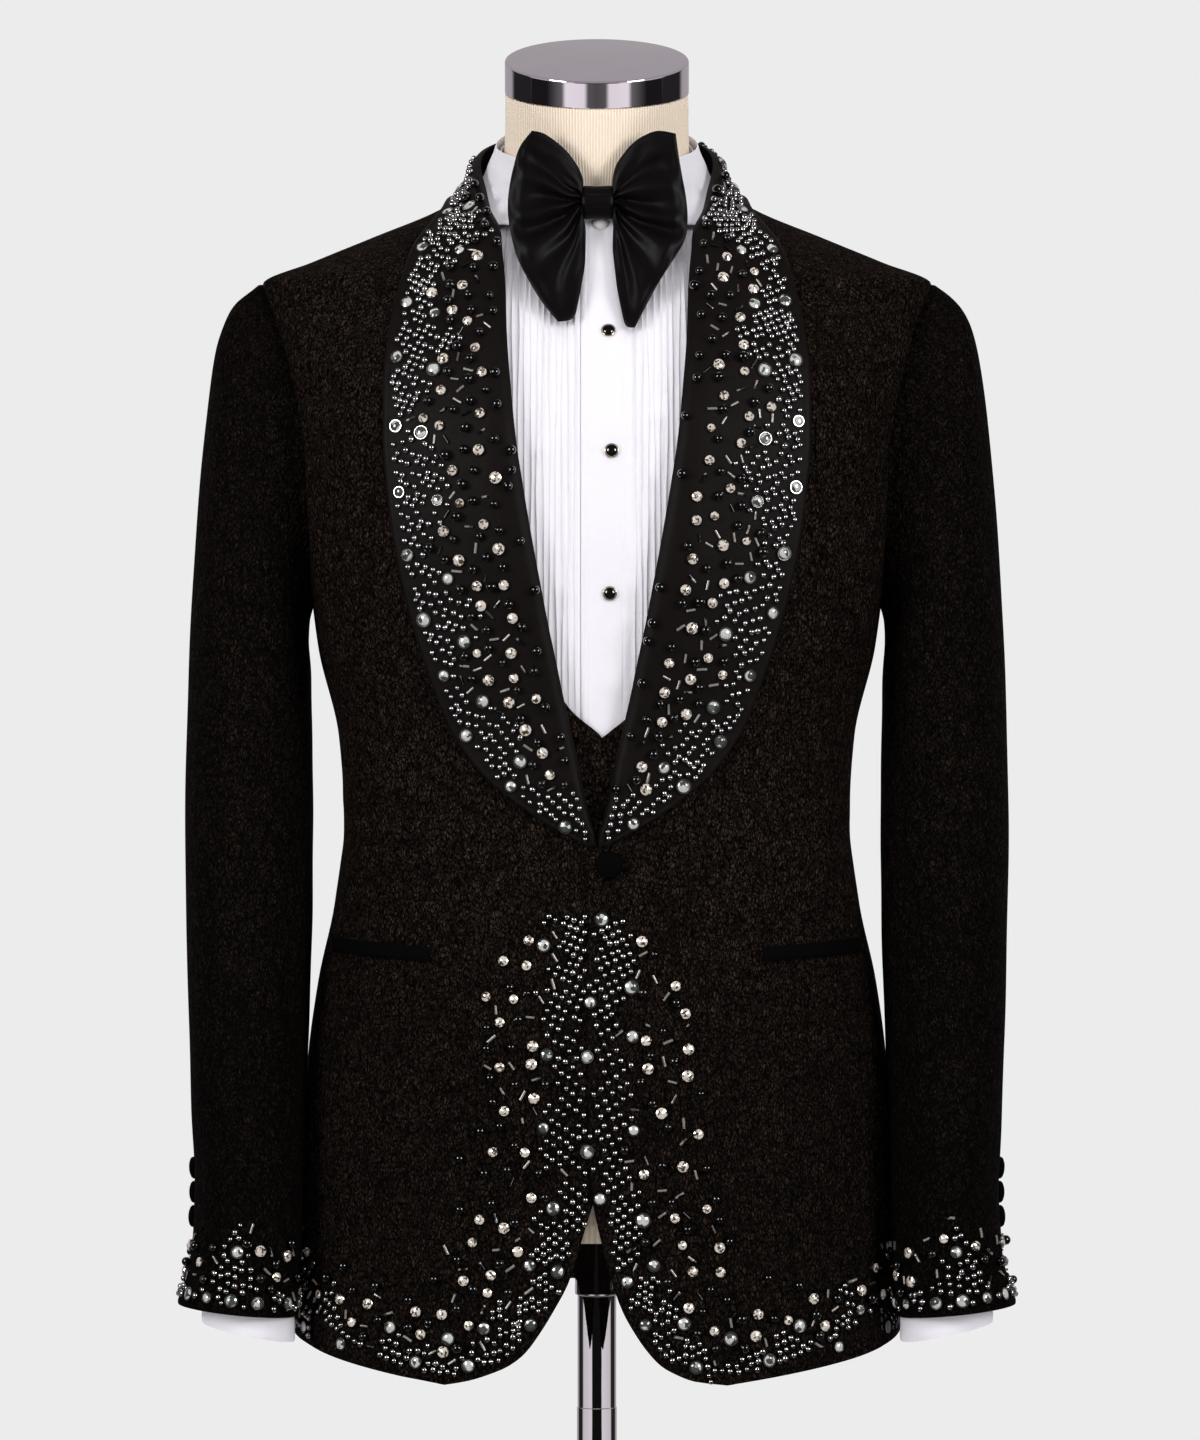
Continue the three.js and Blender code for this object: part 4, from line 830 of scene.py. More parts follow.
def front_place(name, u, v):
    edge_z, side_z = row_at_edge(v * JACKET_ROW_COUNT), row_at_side(v * JACKET_ROW_COUNT)
    start = front_edge_turn(name, edge_z)
    end = side_turn(side_z, FRONT_SEAM_TURN, -1)
    return blend(start, end, u), blend(edge_z, side_z, u)


def hem_shift(turn, row):
    return (hem_z(turn) - hem_z(FRONT_SEAM_TURN)) * (1 - smooth(row / SIDE_ROW_COUNT))


def side_place(u, v):
    row = v * SIDE_ROW_COUNT
    level = row_at_side(row)
    front, back = side_turn(level, FRONT_SEAM_TURN, -1), side_turn(level, BACK_SEAM_TURN, 1)
    turn = blend(front, back, u)
    sag = ARMHOLE["z"] + ARMHOLE["rise"] * np.cos((135 + 90 * u) * DEGREE) - ARMHOLE_SEAM_Z
    return turn, level + hem_shift(turn, row) + sag * v**3


def back_place(u, v):
    row = v * JACKET_ROW_COUNT
    level = row_at_side(row)
    turn = blend(side_turn(level, BACK_SEAM_TURN, 1), CENTRE_BACK_TURN, u)
    return turn, level + hem_shift(turn, row)


class Field:
    """Cloth on which beads are sewn, as a grid of its outer points and the places of its rows and columns."""

    def __init__(self, points, u, v):
        self.points, self.u, self.v = points, u, v
        self.normals = grid_normals(points)
        middle = points.reshape(-1, 3).mean(0)
        if np.einsum("ijk,ijk->", self.normals, points - middle) < 0:
            self.normals = -self.normals
        self.across = run_along(points, 1)
        self.up = run_along(points, 0)

    def at(self, u, v, what=None):
        values = self.points if what is None else what
        x = np.interp(u, self.u, np.arange(len(self.u)))
        y = np.interp(v, self.v, np.arange(len(self.v)))
        j, i = np.minimum(x.astype(int), len(self.u) - 2), np.minimum(y.astype(int), len(self.v) - 2)
        s, t = (x - j)[:, None], (y - i)[:, None]
        low = values[i, j] * (1 - s) + values[i, j + 1] * s
        high = values[i + 1, j] * (1 - s) + values[i + 1, j + 1] * s
        return low * (1 - t) + high * t


fields = {}


def body_panel(
    name, place, side, rows, columns, finish, node, depth=JACKET, extra=None, lifted=True, keep=False,
):
    """A panel that follows the body, with the soft drags of the jacket where it is lifted."""
    u, v = grid(spread(columns), spread(rows, length=600))
    turn, z = place(u, v)
    drop = extra(u, v, turn, z) if extra else 0
    lift = body_lift(turn, z, side) if lifted else 0
    outer = body(turn, z, depth[0] + drop - lift, side)
    inner = body(turn, z, depth[1] + drop - lift, side)
    piece = wall(name, outer, inner, finish)
    sew_in(piece, node, outer)
    if keep:
        fields[name] = Field(outer, u[0], v[:, 0])


def rolled_edge(distance):
    """A turned edge: a slight roll with the seam's hollow behind it."""
    return -0.45 * bell(distance, 2, 1.6) + 0.3 * bell(distance, 5.5, 1.2)


for name, side in SIDES:

    def front_extra(u, v, turn, z, name=name, side=side):
        points = body(turn, z, 0, side)
        run = run_along(points, 1)
        hem = run_along(points, 0)
        drop = 1.6 * rolled_edge(run) + rolled_edge(hem)
        if name == "right":
            lapped = (1 - smooth((u - 0.11) / 0.15)) * smooth((715 - z) / 40)
            drop = drop + UNDERLAP * lapped
        return drop

    body_panel(
        f"front_{name}", lambda u, v, name=name: front_place(name, u, v), side, 150, 44,
        jacquard, f"jacket_front_{name}", extra=front_extra, keep=True,
    )
    body_panel(f"side_{name}", side_place, side, 90, 18, jacquard, f"jacket_side_{name}", keep=True)
    body_panel(f"back_{name}", back_place, side, 140, 36, jacquard, f"jacket_back_{name}", keep=True)


def lapel_station(v):
    at = v * (CHEST_STATIONS + COLLAR_STATIONS)
    first, last = LAPEL_CHEST["z"][0], LAPEL_COLLAR["inner_z"][0]
    z = blend(first, last, np.clip(at / CHEST_STATIONS, 0, 1) ** CHEST_BUNCHING)
    sunk = np.minimum(z, LAPEL_CHEST["z"][-1])
    grow = (z - sunk) / (last - sunk + 1e-6)
    chest = {
        "inner_turn": blend(turn_at(lapel_inner(sunk), z), LAPEL_COLLAR["inner_turn"][0], grow),
        "outer_turn": blend(turn_at(lapel_outer(sunk), z), LAPEL_COLLAR["outer_turn"][0], grow),
        "inner_z": z,
        "outer_z": z,
    }
    return {key: np.where(at < CHEST_STATIONS, chest[key], collar_at[key](at - CHEST_STATIONS)) for key in chest}


for name, side in SIDES:
    u, v = grid(spread(40, length=110), spread(190, length=650))
    station = lapel_station(v)
    turn = blend(station["inner_turn"], station["outer_turn"], u)
    z = blend(station["inner_z"], station["outer_z"], u)
    gap = blend(LAPEL_GAP["chest"], LAPEL_GAP["collar"], smooth(v * 6 - 3))
    lift = section_lift(u) * smooth(v * 12 + 0.25)
    flat = body(turn, z, 0, side)
    run = run_along(flat, 1)
    from_edge = run[:, -1:] - run
    settle = body_lift(turn, z, side) * smooth(u * 3)
    roll = -rolled_edge(from_edge) + 0.5 * np.sin(v * 23 + side) * bell(run, 22, 13)
    inner = body(turn, z, -gap - lift - settle, side)
    outer = body(turn, z, -gap - lift - settle - LAPEL_WALL - roll, side)
    shoulder = (smooth((v - 0.5) / 0.08) * smooth((0.94 - v) / 0.06))[1:-1, :, None]
    for layer in (inner, outer):
        for _ in range(SHOULDER_PASSES):
            layer[1:-1] += 0.25 * (layer[2:] + layer[:-2] - 2 * layer[1:-1]) * shoulder
    piece = wall(f"lapel_{name}_face", outer, inner, lapel_satin)
    sew_in(piece, f"lapel_{name}", outer)
    fields[f"lapel_{name}"] = Field(outer, u[0], v[:, 0])


def welt(name, size, side, finish, node):
    u, v = grid(spread(26, length=64), spread(6, length=12))
    z = blend(size["inner_z"], size["outer_z"], u) + size["height"] * v
    turn = turn_at(blend(size["inner"], size["outer"], u), z)
    lift = body_lift(turn, z, side)
    fold = 0.5 * np.sin(math.pi * v) ** 0.5
    outer = body(turn, z, -WELT["gap"] - WELT["wall"] - lift - fold, side)
    inner = body(turn, z, -WELT["gap"] - lift, side)
    piece = wall(name, outer, inner, finish)
    sew_in(piece, node, outer)


for name, side in SIDES:
    welt(f"hip_pocket_{name}", HIP_WELT, side, trim_satin, f"hip_welt_{name}")
welt("breast_pocket_left", BREAST_WELT, 1, jacquard, "breast_welt_left")


# Sleeves


def oval_point(at, row, angle, inset):
    outer_x, outer_z, inner_x, inner_z = (at[key](row) for key in SLEEVE_KEYS[:4])
    half_x, half_z = (outer_x - inner_x) / 2, (outer_z - inner_z) / 2
    width = np.hypot(half_x, half_z)
    reach = (width - inset) / width * np.cos(angle * DEGREE)
    x = (outer_x + inner_x) / 2 + half_x * reach
    z = (outer_z + inner_z) / 2 + half_z * reach
    y = at["mid_y"](row) - (at["half_y"](row) - inset) * np.sin(angle * DEGREE)
    return np.stack(np.broadcast_arrays(x, y, z), -1)


def armhole_point(hole, angle, depth):
    z = hole["z"] + hole["rise"] * np.cos(angle * DEGREE)
    turn = 90 - hole["spread"] * np.sin(angle * DEGREE)
    return body(turn, z, depth) + np.array([SLEEVE_SEAM, 0, 0])


def sleeve_point(angle, row, inset):
    oval = oval_point(sleeve_at, np.maximum(row, 1), angle, inset)
    start = oval_point(sleeve_at, np.ones_like(row), angle, inset)
    hole = armhole_point(ARMHOLE, angle, inset)
    share = smooth(row / 3)[..., None]
    return (hole + oval - start) * (1 - share) + oval * share


for name, side in SIDES:
    for part, low, high in SLEEVE_PIECES:
        across, up = spread(34, length=130), spread(150, length=660)
        u, v = grid(across, up)
        angle, row = blend(low - SLEEVE_LAP, high + SLEEVE_LAP, u), v * SLEEVE_ROW_COUNT
        outer = sleeve_point(angle, row, np.zeros_like(u))
        inner = sleeve_point(angle, row, np.full_like(u, SLEEVE_WALL))
        keys = ("angle_1", "row_1", "angle_2", "row_2")
        round_angle = np.where(angle > 180, angle - 360, angle) if part == "top" else angle
        scale = (ANGLE_LENGTH, ROW_LENGTH)
        lift = creases(SLEEVE_FOLDS, side, round_angle * ANGLE_LENGTH, row * ROW_LENGTH, keys, scale)
        lift = lift + 0.3 * np.sin(angle * 0.06 + row * 2.3 + side) * np.sin(row * 3.1 + side)
        lift = lift * smooth(row * 1.2) * smooth((SLEEVE_ROW_COUNT - row) * 1.1)
        hem = run_along(outer, 0)
        lift = lift - rolled_edge(hem[-1:] - hem)
        away = outer - inner
        away = away / np.linalg.norm(away, axis=-1, keepdims=True)
        outer, inner = outer + away * lift[..., None], inner + away * lift[..., None]
        outer[..., 0] *= side
        inner[..., 0] *= side
        # The sleeves wear the darker copy of the jacquard: painted shade.
        piece = wall(f"sleeve_{part}_{name}_cloth", outer, inner, painted_shade_sleeve_jacquard)
        sew_in(piece, f"sleeve_{part}_{name}", outer)
        fields[f"sleeve_{part}_{name}"] = Field(outer, across, up)

    up = spread(60, length=540)
    u, v = grid(np.arange(48) / 48, up)
    angle, row = 360 * u, v * SHIRT_SLEEVE_ROWS
    first = armhole_point(SHIRT_ARMHOLE, angle, SHIRT[0])
    layers = []
    for wall_depth in (0, SHIRT_SLEEVE_WALL):
        oval = oval_point(sleeve_at, np.maximum(row, 1), angle, shirt_sleeve_inset(row) + wall_depth)
        hole = armhole_point(SHIRT_ARMHOLE, angle, SHIRT[0] + wall_depth)
        share = smooth(row)[..., None]
        points = hole * (1 - share) + oval * share
        points[..., 0] *= side
        layers.append(points)
    piece = wall(f"shirt_arm_{name}", layers[0], layers[1], cotton, closed=True)
    sew_in(piece, f"shirt_sleeve_{name}", layers[0], closed=True)

    u, v = grid(np.arange(96) / 96, spread(16, length=66))
    layers = []
    for wall_depth in (0, CUFF_WALL):
        wave = 0.5 * np.sin(6 * math.pi * u + side) * v
        points = oval_point(cuff_at, v * 2, 360 * u, wall_depth - wave)
        points[..., 0] *= side
        layers.append(points)
    piece = wall(f"cuff_{name}", layers[0], layers[1], cotton, closed=True)
    sew_in(piece, f"shirt_cuff_{name}", layers[0], closed=True)


# Shirt


def shirt_side_turn(z, share):
    low = SHIRT_ARMHOLE["z"] - SHIRT_ARMHOLE["rise"]
    high = SHIRT_ARMHOLE["z"] + SHIRT_ARMHOLE["rise"]
    return np.where((z > low) & (z < high), armhole_turn(SHIRT_ARMHOLE, z, share), 90)


TUCK_STEPS = table(
    "phase rise", (0, 0), (0.3, 0), (0.5, 0.35), (0.7, 0.85), (0.78, 1), (0.84, 0.9), (0.9, 0.15), (0.97, 0),
)
STITCHES = (-6.2, 16.8)
STITCH_WIDTH = 0.45
for name, side in SIDES:
    start = PLACKET["tuck_start"] if name == "left" else PLACKET["right"]
    if name == "left":
        plain = [-10.15, -9.9, -9.4, -8, -6.6, -6.2, -5.8, -4, 0, 4, 8, 12, 15, 16.4, 16.8, 17.2, 20]
    else:
        plain = [10.45, 10.8]
    columns = [(x, 0.0) for x in plain]
    for i in range(TUCKS[name]):
        for phase, rise in zip(TUCK_STEPS["phase"], TUCK_STEPS["rise"]):
            columns.append((start + TUCK_PITCH * (i + phase), rise))
    last = start + TUCK_PITCH * TUCKS[name] + 1
    columns.append((last, 0.0))
    x, rise = np.array(columns).T
    up = np.concatenate([np.linspace(SHIRT_LOW, 715, 16), np.linspace(722, SHIRT_TOP, 62)])
    x, z = grid(x, up)
    rise = np.broadcast_to(rise, x.shape)
    tuck = np.floor((x - start) / TUCK_PITCH)
    shown = smooth((z - TUCKS_FROM + 45) / 50)
    inside = (x > start + 0.5) & (x < last - 0.5)
    sway = np.where(inside, 0.42 * np.sin(z / 31 + tuck * 1.9) + 0.25 * np.sin(z / 13 + tuck * 2.7), 0)
    height = rise * TUCK_RISE * shown * (0.85 + 0.25 * np.sin(z / 47 + tuck * 1.3))
    stitch = bell(x, STITCHES[0], STITCH_WIDTH) + bell(x, STITCHES[1], STITCH_WIDTH)
    if name == "left":
        height = height + 0.55 * smooth((x + 10.2) / 1.2) * smooth((20.5 - x) / 2) - 0.3 * stitch
    turn = turn_at(x + sway * shown, z)
    outer = body(turn, z, SHIRT[0] - height, side)
    inner = body(turn, z, SHIRT[1], side)
    piece = wall(f"bib_{name}", outer, inner, cotton)
    sew_in(piece, f"shirt_bib_{name}", outer)

    def plain_place(u, v, last=last):
        z = blend(SHIRT_LOW, SHIRT_TOP, v)
        return blend(turn_at(last + SEAM, z), shirt_side_turn(z, -1) - SIDE_SEAM_GAP, u), z

    body_panel(
        f"shirt_side_{name}", plain_place, side, 60, 20, cotton, f"shirt_front_{name}", SHIRT, lifted=False,
    )


def round_the_back(start, z, u):
    return blend(start, 360 - start, u), z


def shirt_back_place(u, v):
    z = blend(SHIRT_LOW, SHIRT_TOP, v)
    return round_the_back(shirt_side_turn(z, 1) + SIDE_SEAM_GAP, z, u)


def vest_back_place(u, v):
    z = blend(VEST_LOW, VEST_TOP, v)
    return round_the_back(90 + VEST_BACK_SHARE * vest_spread(z) + SIDE_SEAM_GAP, z, u)


body_panel("shirt_back_cloth", shirt_back_place, 1, 60, 50, cotton, "shirt_back", SHIRT, lifted=False)
body_panel(
    "waistcoat_back_cloth", vest_back_place, 1, 60, 50, trim_satin, "waistcoat_back", WAISTCOAT_BACK,
    lifted=False,
)
for name, side in SIDES:

    def vest_place(u, v, side=side):
        z = blend(VEST_LOW, VEST_TOP, v)
        lapped = VEST_LAP * smooth((VEST_POINT - z) / 4) if side == 1 else 0
        across = np.maximum(vest_edge(z), np.clip(z - VEST_POINT, 0, 16)) + VEST_V_CENTRE * side + SEAM - lapped
        return blend(turn_at(across, z), 90 - vest_spread(z) - SIDE_SEAM_GAP, u), z

    def vest_extra(u, v, turn, z, side=side):
        run = run_along(body(turn, z, 0, side), 1)
        under = 1.45 * smooth((18 - run) / 8) * smooth((VEST_POINT + 2 - z) / 8) if side == -1 else 0
        return under + rolled_edge(run) * 0.8

    body_panel(
        f"waistcoat_{name}", vest_place, side, 150, 30, jacquard, f"waistcoat_front_{name}", WAISTCOAT,
        extra=vest_extra, lifted=False,
    )


def fold_line(turn):
    """The height of the collar's fold: it rises to the side of the neck and a little more to the back."""
    away = np.minimum(turn, 360 - turn)
    side, back = smooth(away / 60), smooth((away - 60) / 120)
    return COLLAR_LEAF["front"] + COLLAR_LEAF["side_rise"] * side + COLLAR_LEAF["back_rise"] * back


u, v = grid(np.arange(120) / 120, spread(8, length=30))
turn = 360 * u
from_front = np.minimum(turn, 360 - turn)
high = blend(COLLAR_BAND["front"], fold_line(turn) - COLLAR_BAND["under_fold"], smooth((from_front - 12) / 22))
z = blend(COLLAR_BAND["low"], high, v)
outer, inner = body(turn, z, COLLAR_BAND["outer"]), body(turn, z, COLLAR_BAND["inner"])
piece = wall("collar_stand", outer, inner, cotton, closed=True)
sew_in(piece, "shirt_collar_band", outer, closed=True)

u, v = grid(spread(110, length=430), spread(14, length=32))
turn = blend(COLLAR_LEAF["from"], 360 - COLLAR_LEAF["from"], u)
from_front = np.minimum(turn, 360 - turn)
edge = blend(COLLAR_LEAF["edge_front"], COLLAR_LEAF["edge_back"], smooth((from_front - 48) / 40))
depth = blend(COLLAR_LEAF["fold_depth"], COLLAR_LEAF["edge_depth"], smooth(v * COLLAR_LEAF["over"]))
z = blend(fold_line(turn), edge, v)
outer, inner = body(turn, z, depth), body(turn, z, depth + COLLAR_LEAF["wall"])
from_edge = run_along(outer, 0)
from_edge = from_edge[-1:] - from_edge
stitched = 0.25 * bell(from_edge, 2, 1.6) - 0.2 * bell(from_edge, 5, 0.8)
outer = outer + (outer - inner) / COLLAR_LEAF["wall"] * stitched[..., None]
piece = wall("collar_fall", outer, inner, cotton)
sew_in(piece, "shirt_collar_leaf", outer)


# Bow tie


def through(points, share):
    """A smooth line through a few points, by share of its length in points."""
    points = np.array(points, dtype=float)
    last = len(points) - 1
    at = np.clip(share, 0, 1) * last
    i = np.minimum(at.astype(int), last)
    t = (at - i)[..., None]
    p0, p1 = points[np.maximum(i - 1, 0)], points[i]
    p2, p3 = points[np.minimum(i + 1, last)], points[np.minimum(i + 2, last)]
    v0, v1 = (p2 - p0) / 2, (p3 - p1) / 2
    return (2 * p1 - 2 * p2 + v0 + v1) * t**3 + (-3 * p1 + 3 * p2 - 2 * v0 - v1) * t**2 + v0 * t + p1


def bow_place(name, across, along):
    head, foot, rim = BOW_TOP[name], BOW_LOW[name], BOW_OUTER[name]
    top, low, outer = through(head, along), through(foot, along), through(rim, across)
    s, t = across[..., None], along[..., None]
    root = np.stack([np.full_like(across, head[0][0]), blend(head[0][1], foot[0][1], across)], -1)
    place = blend(top, low, s) + blend(root, outer, t)
    corners = blend(np.array(head[0]), np.array(foot[0]), s)
    ends = blend(np.array(rim[0]), np.array(rim[-1]), s)
    return place - blend(corners, ends, t)


for name, side in SIDES:
    u, v = grid(spread(72, 0.8, 90), spread(56, 0.8, 60))
    place = bow_place(name, u, v)
    belly = np.sin(math.pi * u) * np.sin(math.pi * np.minimum(1, v * 0.85))
    half = blend(BOW_THICK["root"], BOW_THICK["edge"], np.sqrt(v)) + BOW_THICK["belly"] * belly
    rim = np.minimum(np.minimum(u, 1 - u), 1 - v) * 9
    half = blend(BOW_THICK["edge"], half, smooth(rim))
    folds = np.zeros_like(u)
    for i in range(len(BOW_FOLDS["lift"])):
        line = blend(BOW_FOLDS["root"][i], BOW_FOLDS["tip"][i], v) + 0.02 * np.sin(5 * v + i + side)
        near, far = BOW_FOLDS["near"][i], BOW_FOLDS["far"][i]
        fade = smooth((v - near + 0.06) / 0.16) * smooth((far - v) / 0.28)
        width = BOW_FOLDS["width"][i] * (0.5 + 0.7 * v)
        folds = folds + BOW_FOLDS["lift"][i] * fade * bell(u, line, width)
    folds = folds + 0.7 * np.sin(3.2 * math.pi * u + 0.8 * side) * v * (1 - v) * 2
    border = bell(rim, 0.62, 0.16) * smooth((v - 0.25) / 0.2)
    front = half + folds * smooth(rim * 1.4) - 0.3 * border
    z = BOW_CENTRE[2] + place[..., 1]
    below = BOW_CHEST["from"] - z
    y = BOW_CENTRE[1] - BOW_LEAN * v - (below + np.hypot(below, BOW_CHEST["ease"])) / 2 * BOW_CHEST["slope"]
    x = BOW_CENTRE[0] + side * place[..., 0]
    outer, inner = np.stack([x, y - front, z], -1), np.stack([x, y + half, z], -1)
    piece = wall(f"wing_{name}", outer, inner, bow_satin, sharp=70)
    sew_in(piece, f"bow_wing_{name}", outer)

u, v = grid(np.arange(64) / 64, np.linspace(0, 1, 33))
angle = 2 * math.pi * u
pinch = 1 - KNOT["pinch"] * (1 - np.cos(2 * math.pi * v))
level = np.sin(angle)
pleat = 1.5 * smooth((level + 0.34) / 0.12) * smooth((0.5 - level) / 0.12) * np.where(np.cos(angle) < 0, 1, 0)
radius_y = KNOT["depth"] / 2 * pinch + pleat
x = BOW_CENTRE[0] + (v - 0.5) * KNOT["width"]
y = BOW_CENTRE[1] + radius_y * np.cos(angle)
z = BOW_CENTRE[2] + (KNOT["height"] / 2 * pinch) * level
outer = np.stack([x, y, z], -1)
middle = np.stack([x, np.full_like(x, BOW_CENTRE[1]), np.full_like(x, BOW_CENTRE[2])], -1)
inner = middle + (outer - middle) * 0.72
piece = wall("knot", outer, inner, bow_satin, closed=True)
sew_in(piece, "bow_knot", outer, closed=True)

u, v = grid(np.arange(120) / 120, spread(5, length=9))
z = blend(TIE_BAND["low"], TIE_BAND["high"], v)
outer, inner = body(360 * u, z, TIE_BAND["outer"]), body(360 * u, z, TIE_BAND["inner"])
piece = wall("tie_neck", outer, inner, bow_satin, closed=True)
sew_in(piece, "bow_band", outer, closed=True)


# Dress form


def ring_solid(name, rings, finish):
    """A closed solid through rings of points, flat at both ends, with its girth as a UV map."""
    rows, count = rings.shape[0] - 1, rings.shape[1]
    i, j = np.meshgrid(np.arange(rows), np.arange(count), indexing="ij")
    a, b = i * count + j, i * count + (j + 1) % count
    faces = np.stack([a, b, b + count, a + count], -1).reshape(-1, 4)
    points = rings.reshape(-1, 3)
    faces = outward(points, faces).tolist()
    faces.append(list(range(count))[::-1])
    faces.append([rows * count + k for k in range(count)])
    piece = new_mesh(name, points, faces, finish, 60)
    lay_cut(piece, rings)
    return piece


u, z = grid(np.arange(144) / 144, np.linspace(FORM_BOTTOM, FORM_TOP, 110))
rings = body(360 * u, z, form_depth(z))
rings[0, :, 2] = FORM_BOTTOM
form = ring_solid("padded_form", rings, jersey)
ride(form, "form_torso")


# Turned metal, made by hand from primitives


def select_none():
    for item in bpy.context.view_layer.objects:
        item.select_set(False)


def primitive(name, add, finishes, **sizes):
    select_none()
    add(**sizes)
    piece = bpy.context.object
    piece.name = piece.data.name = name
    for finish in finishes:
        piece.data.materials.append(finish)
    return piece


def top_face(piece):
    bpy.ops.object.mode_set(mode="EDIT")
    shape = bmesh.from_edit_mesh(piece.data)
    bpy.ops.mesh.select_all(action="DESELECT")
    shape.faces.ensure_lookup_table()
    for face in shape.faces:
        face.select_set(face.normal.z > 0.9 and face.calc_center_median().z > 0)
    bmesh.update_edit_mesh(piece.data)


def apply_all(piece):
    select_none()
    piece.select_set(True)
    bpy.context.view_layer.objects.active = piece
    for modifier in list(piece.modifiers):
        bpy.ops.object.modifier_apply(modifier=modifier.name)
    bpy.ops.object.transform_apply(location=True, rotation=True, scale=True)


def bevel(piece, width, segments, angle):
    modifier = piece.modifiers.new("edge", "BEVEL")
    modifier.width, modifier.segments = width, segments
    modifier.limit_method, modifier.angle_limit = "ANGLE", math.radians(angle)


def smooth_by_angle(piece, angle):
    select_none()
    piece.select_set(True)
    bpy.context.view_layer.objects.active = piece
    bpy.ops.object.shade_smooth_by_angle(angle=math.radians(angle))


def turned_step(inset, rise):
    bpy.ops.mesh.inset(thickness=inset * MM, depth=rise * MM)


def metal_part(name, radius, low, high, finish, steps, edge, node, sides=96):
    height = (high - low) * MM
    piece = primitive(
        name, bpy.ops.mesh.primitive_cylinder_add, [finish],
        vertices=sides, radius=radius * MM, depth=height, location=(0, 0, 0), end_fill_type="NGON",
    )
    top_face(piece)
    for inset, rise in steps:
        turned_step(inset, rise)
    bpy.ops.object.mode_set(mode="OBJECT")
    bevel(piece, edge * MM, 3, 35)
    piece.location = (0, 0, (low + high) / 2 * MM)
    apply_all(piece)
    smooth_by_angle(piece, 5)
    ride(piece, node)


cap = primitive(
    "cap_of_neck", bpy.ops.mesh.primitive_cylinder_add, [chrome],
    vertices=128, radius=CAP["radius"] * MM, depth=CAP["height"] * MM, location=(0, 0, CAP["height"] / 2 * MM),
)
top_face(cap)
turned_step(0.8, 0.9)
turned_step(18, CAP["dome"] * 0.45)
turned_step(20, CAP["dome"] * 0.22)
turned_step(14, CAP["dome"] * 0.05)
bpy.ops.object.mode_set(mode="OBJECT")
bevel(cap, 0.7 * MM, 3, 30)
apply_all(cap)
for vertex in cap.data.vertices:
    if vertex.co.z > CAP["height"] * MM * 0.5:
        vertex.co.z += math.tan(CAP["lean"] * DEGREE) * vertex.co.y
tilt = Matrix.Rotation(NECK_TILT * DEGREE, 4, "X")
lift = tilt @ Vector((0, 0, SEAM * MM))
cap_place = (0, float(ring_at["mid"](FORM_TOP)) * MM + lift.y, FORM_TOP * MM + lift.z)
cap.data.transform(Matrix.Translation(cap_place) @ tilt)
smooth_by_angle(cap, 5)
ride(cap, "neck_cap")

POLE_JOINT = 285
POLE_LOW, POLE_HIGH = BASE["hub_top"] + SEAM, SOCKET["low"] - SEAM
BASE_STEPS = [(4, 3.4), (60, 3.6), (58, 4.4), (24, 4.6), (3.5, 12.4)]
metal_part("stand_socket", SOCKET["radius"], SOCKET["low"], SOCKET["high"], steel, [], 0.9, "pole_socket")
metal_part("stand_pole", POLE_RADIUS - 0.35, POLE_LOW, POLE_HIGH, steel, [], 0.3, "pole")
metal_part("lower_tube", POLE_RADIUS, POLE_LOW, POLE_JOINT, steel, [], 0.5, None)
metal_part("stand_foot", BASE["radius"], 0, BASE["thick"] * 0.6, steel, BASE_STEPS, 1.0, "stand_base", 160)


# Buttons and studs


def set_on(piece, point, normal, spin=0.0):
    turn = Vector((0, 0, 1)).rotation_difference(Vector(normal)).to_matrix().to_4x4()
    piece.data.transform(Matrix.Translation(Vector(point) * MM) @ turn @ Matrix.Rotation(spin, 4, "Z"))


def covered_button(name, size, point, normal, node):
    """A low dome covered in satin."""
    radius, height = size["radius"], size["height"]
    piece = primitive(
        name, bpy.ops.mesh.primitive_cylinder_add, [trim_satin],
        vertices=48, radius=radius * MM, depth=height * 0.5 * MM, location=(0, 0, height * 0.28 * MM),
    )
    top_face(piece)
    turned_step(radius * 0.12, height * 0.2)
    turned_step(radius * 0.25, height * 0.16)
    turned_step(radius * 0.3, height * 0.08)
    bpy.ops.object.mode_set(mode="OBJECT")
    bevel(piece, height * 0.14 * MM, 4, 25)
    apply_all(piece)
    set_on(piece, point, normal)
    smooth_by_angle(piece, 60)
    ride(piece, node)


def dressed_stud(name, size, point, normal, dome, rim, node):
    """A polished dome in a thin metal rim, on a short post."""
    piece = primitive(
        name, bpy.ops.mesh.primitive_cylinder_add, [rim, dome],
        vertices=40, radius=size["radius"] * MM, depth=size["height"] * 0.4 * MM,
        location=(0, 0, size["height"] * 0.2 * MM),
    )
    top_face(piece)
    turned_step(size["radius"] * 0.1, 0)
    bpy.context.object.active_material_index = 1
    turned_step(0.15, 0.12 * size["height"])
    bpy.ops.object.material_slot_assign()
    turned_step(size["radius"] * 0.18, size["height"] * 0.24)
    turned_step(size["radius"] * 0.3, size["height"] * 0.16)
    turned_step(size["radius"] * 0.2, size["height"] * 0.04)
    bpy.ops.object.mode_set(mode="OBJECT")
    bevel(piece, 0.18 * MM, 2, 40)
    apply_all(piece)
    set_on(piece, point, normal)
    smooth_by_angle(piece, 50)
    ride(piece, node)


def on_body(x, z, depth):
    turn, z = np.array([turn_at(x, z)]), np.array([float(z)])
    return body(turn, z, depth)[0], surface_normal(turn, z)[0]


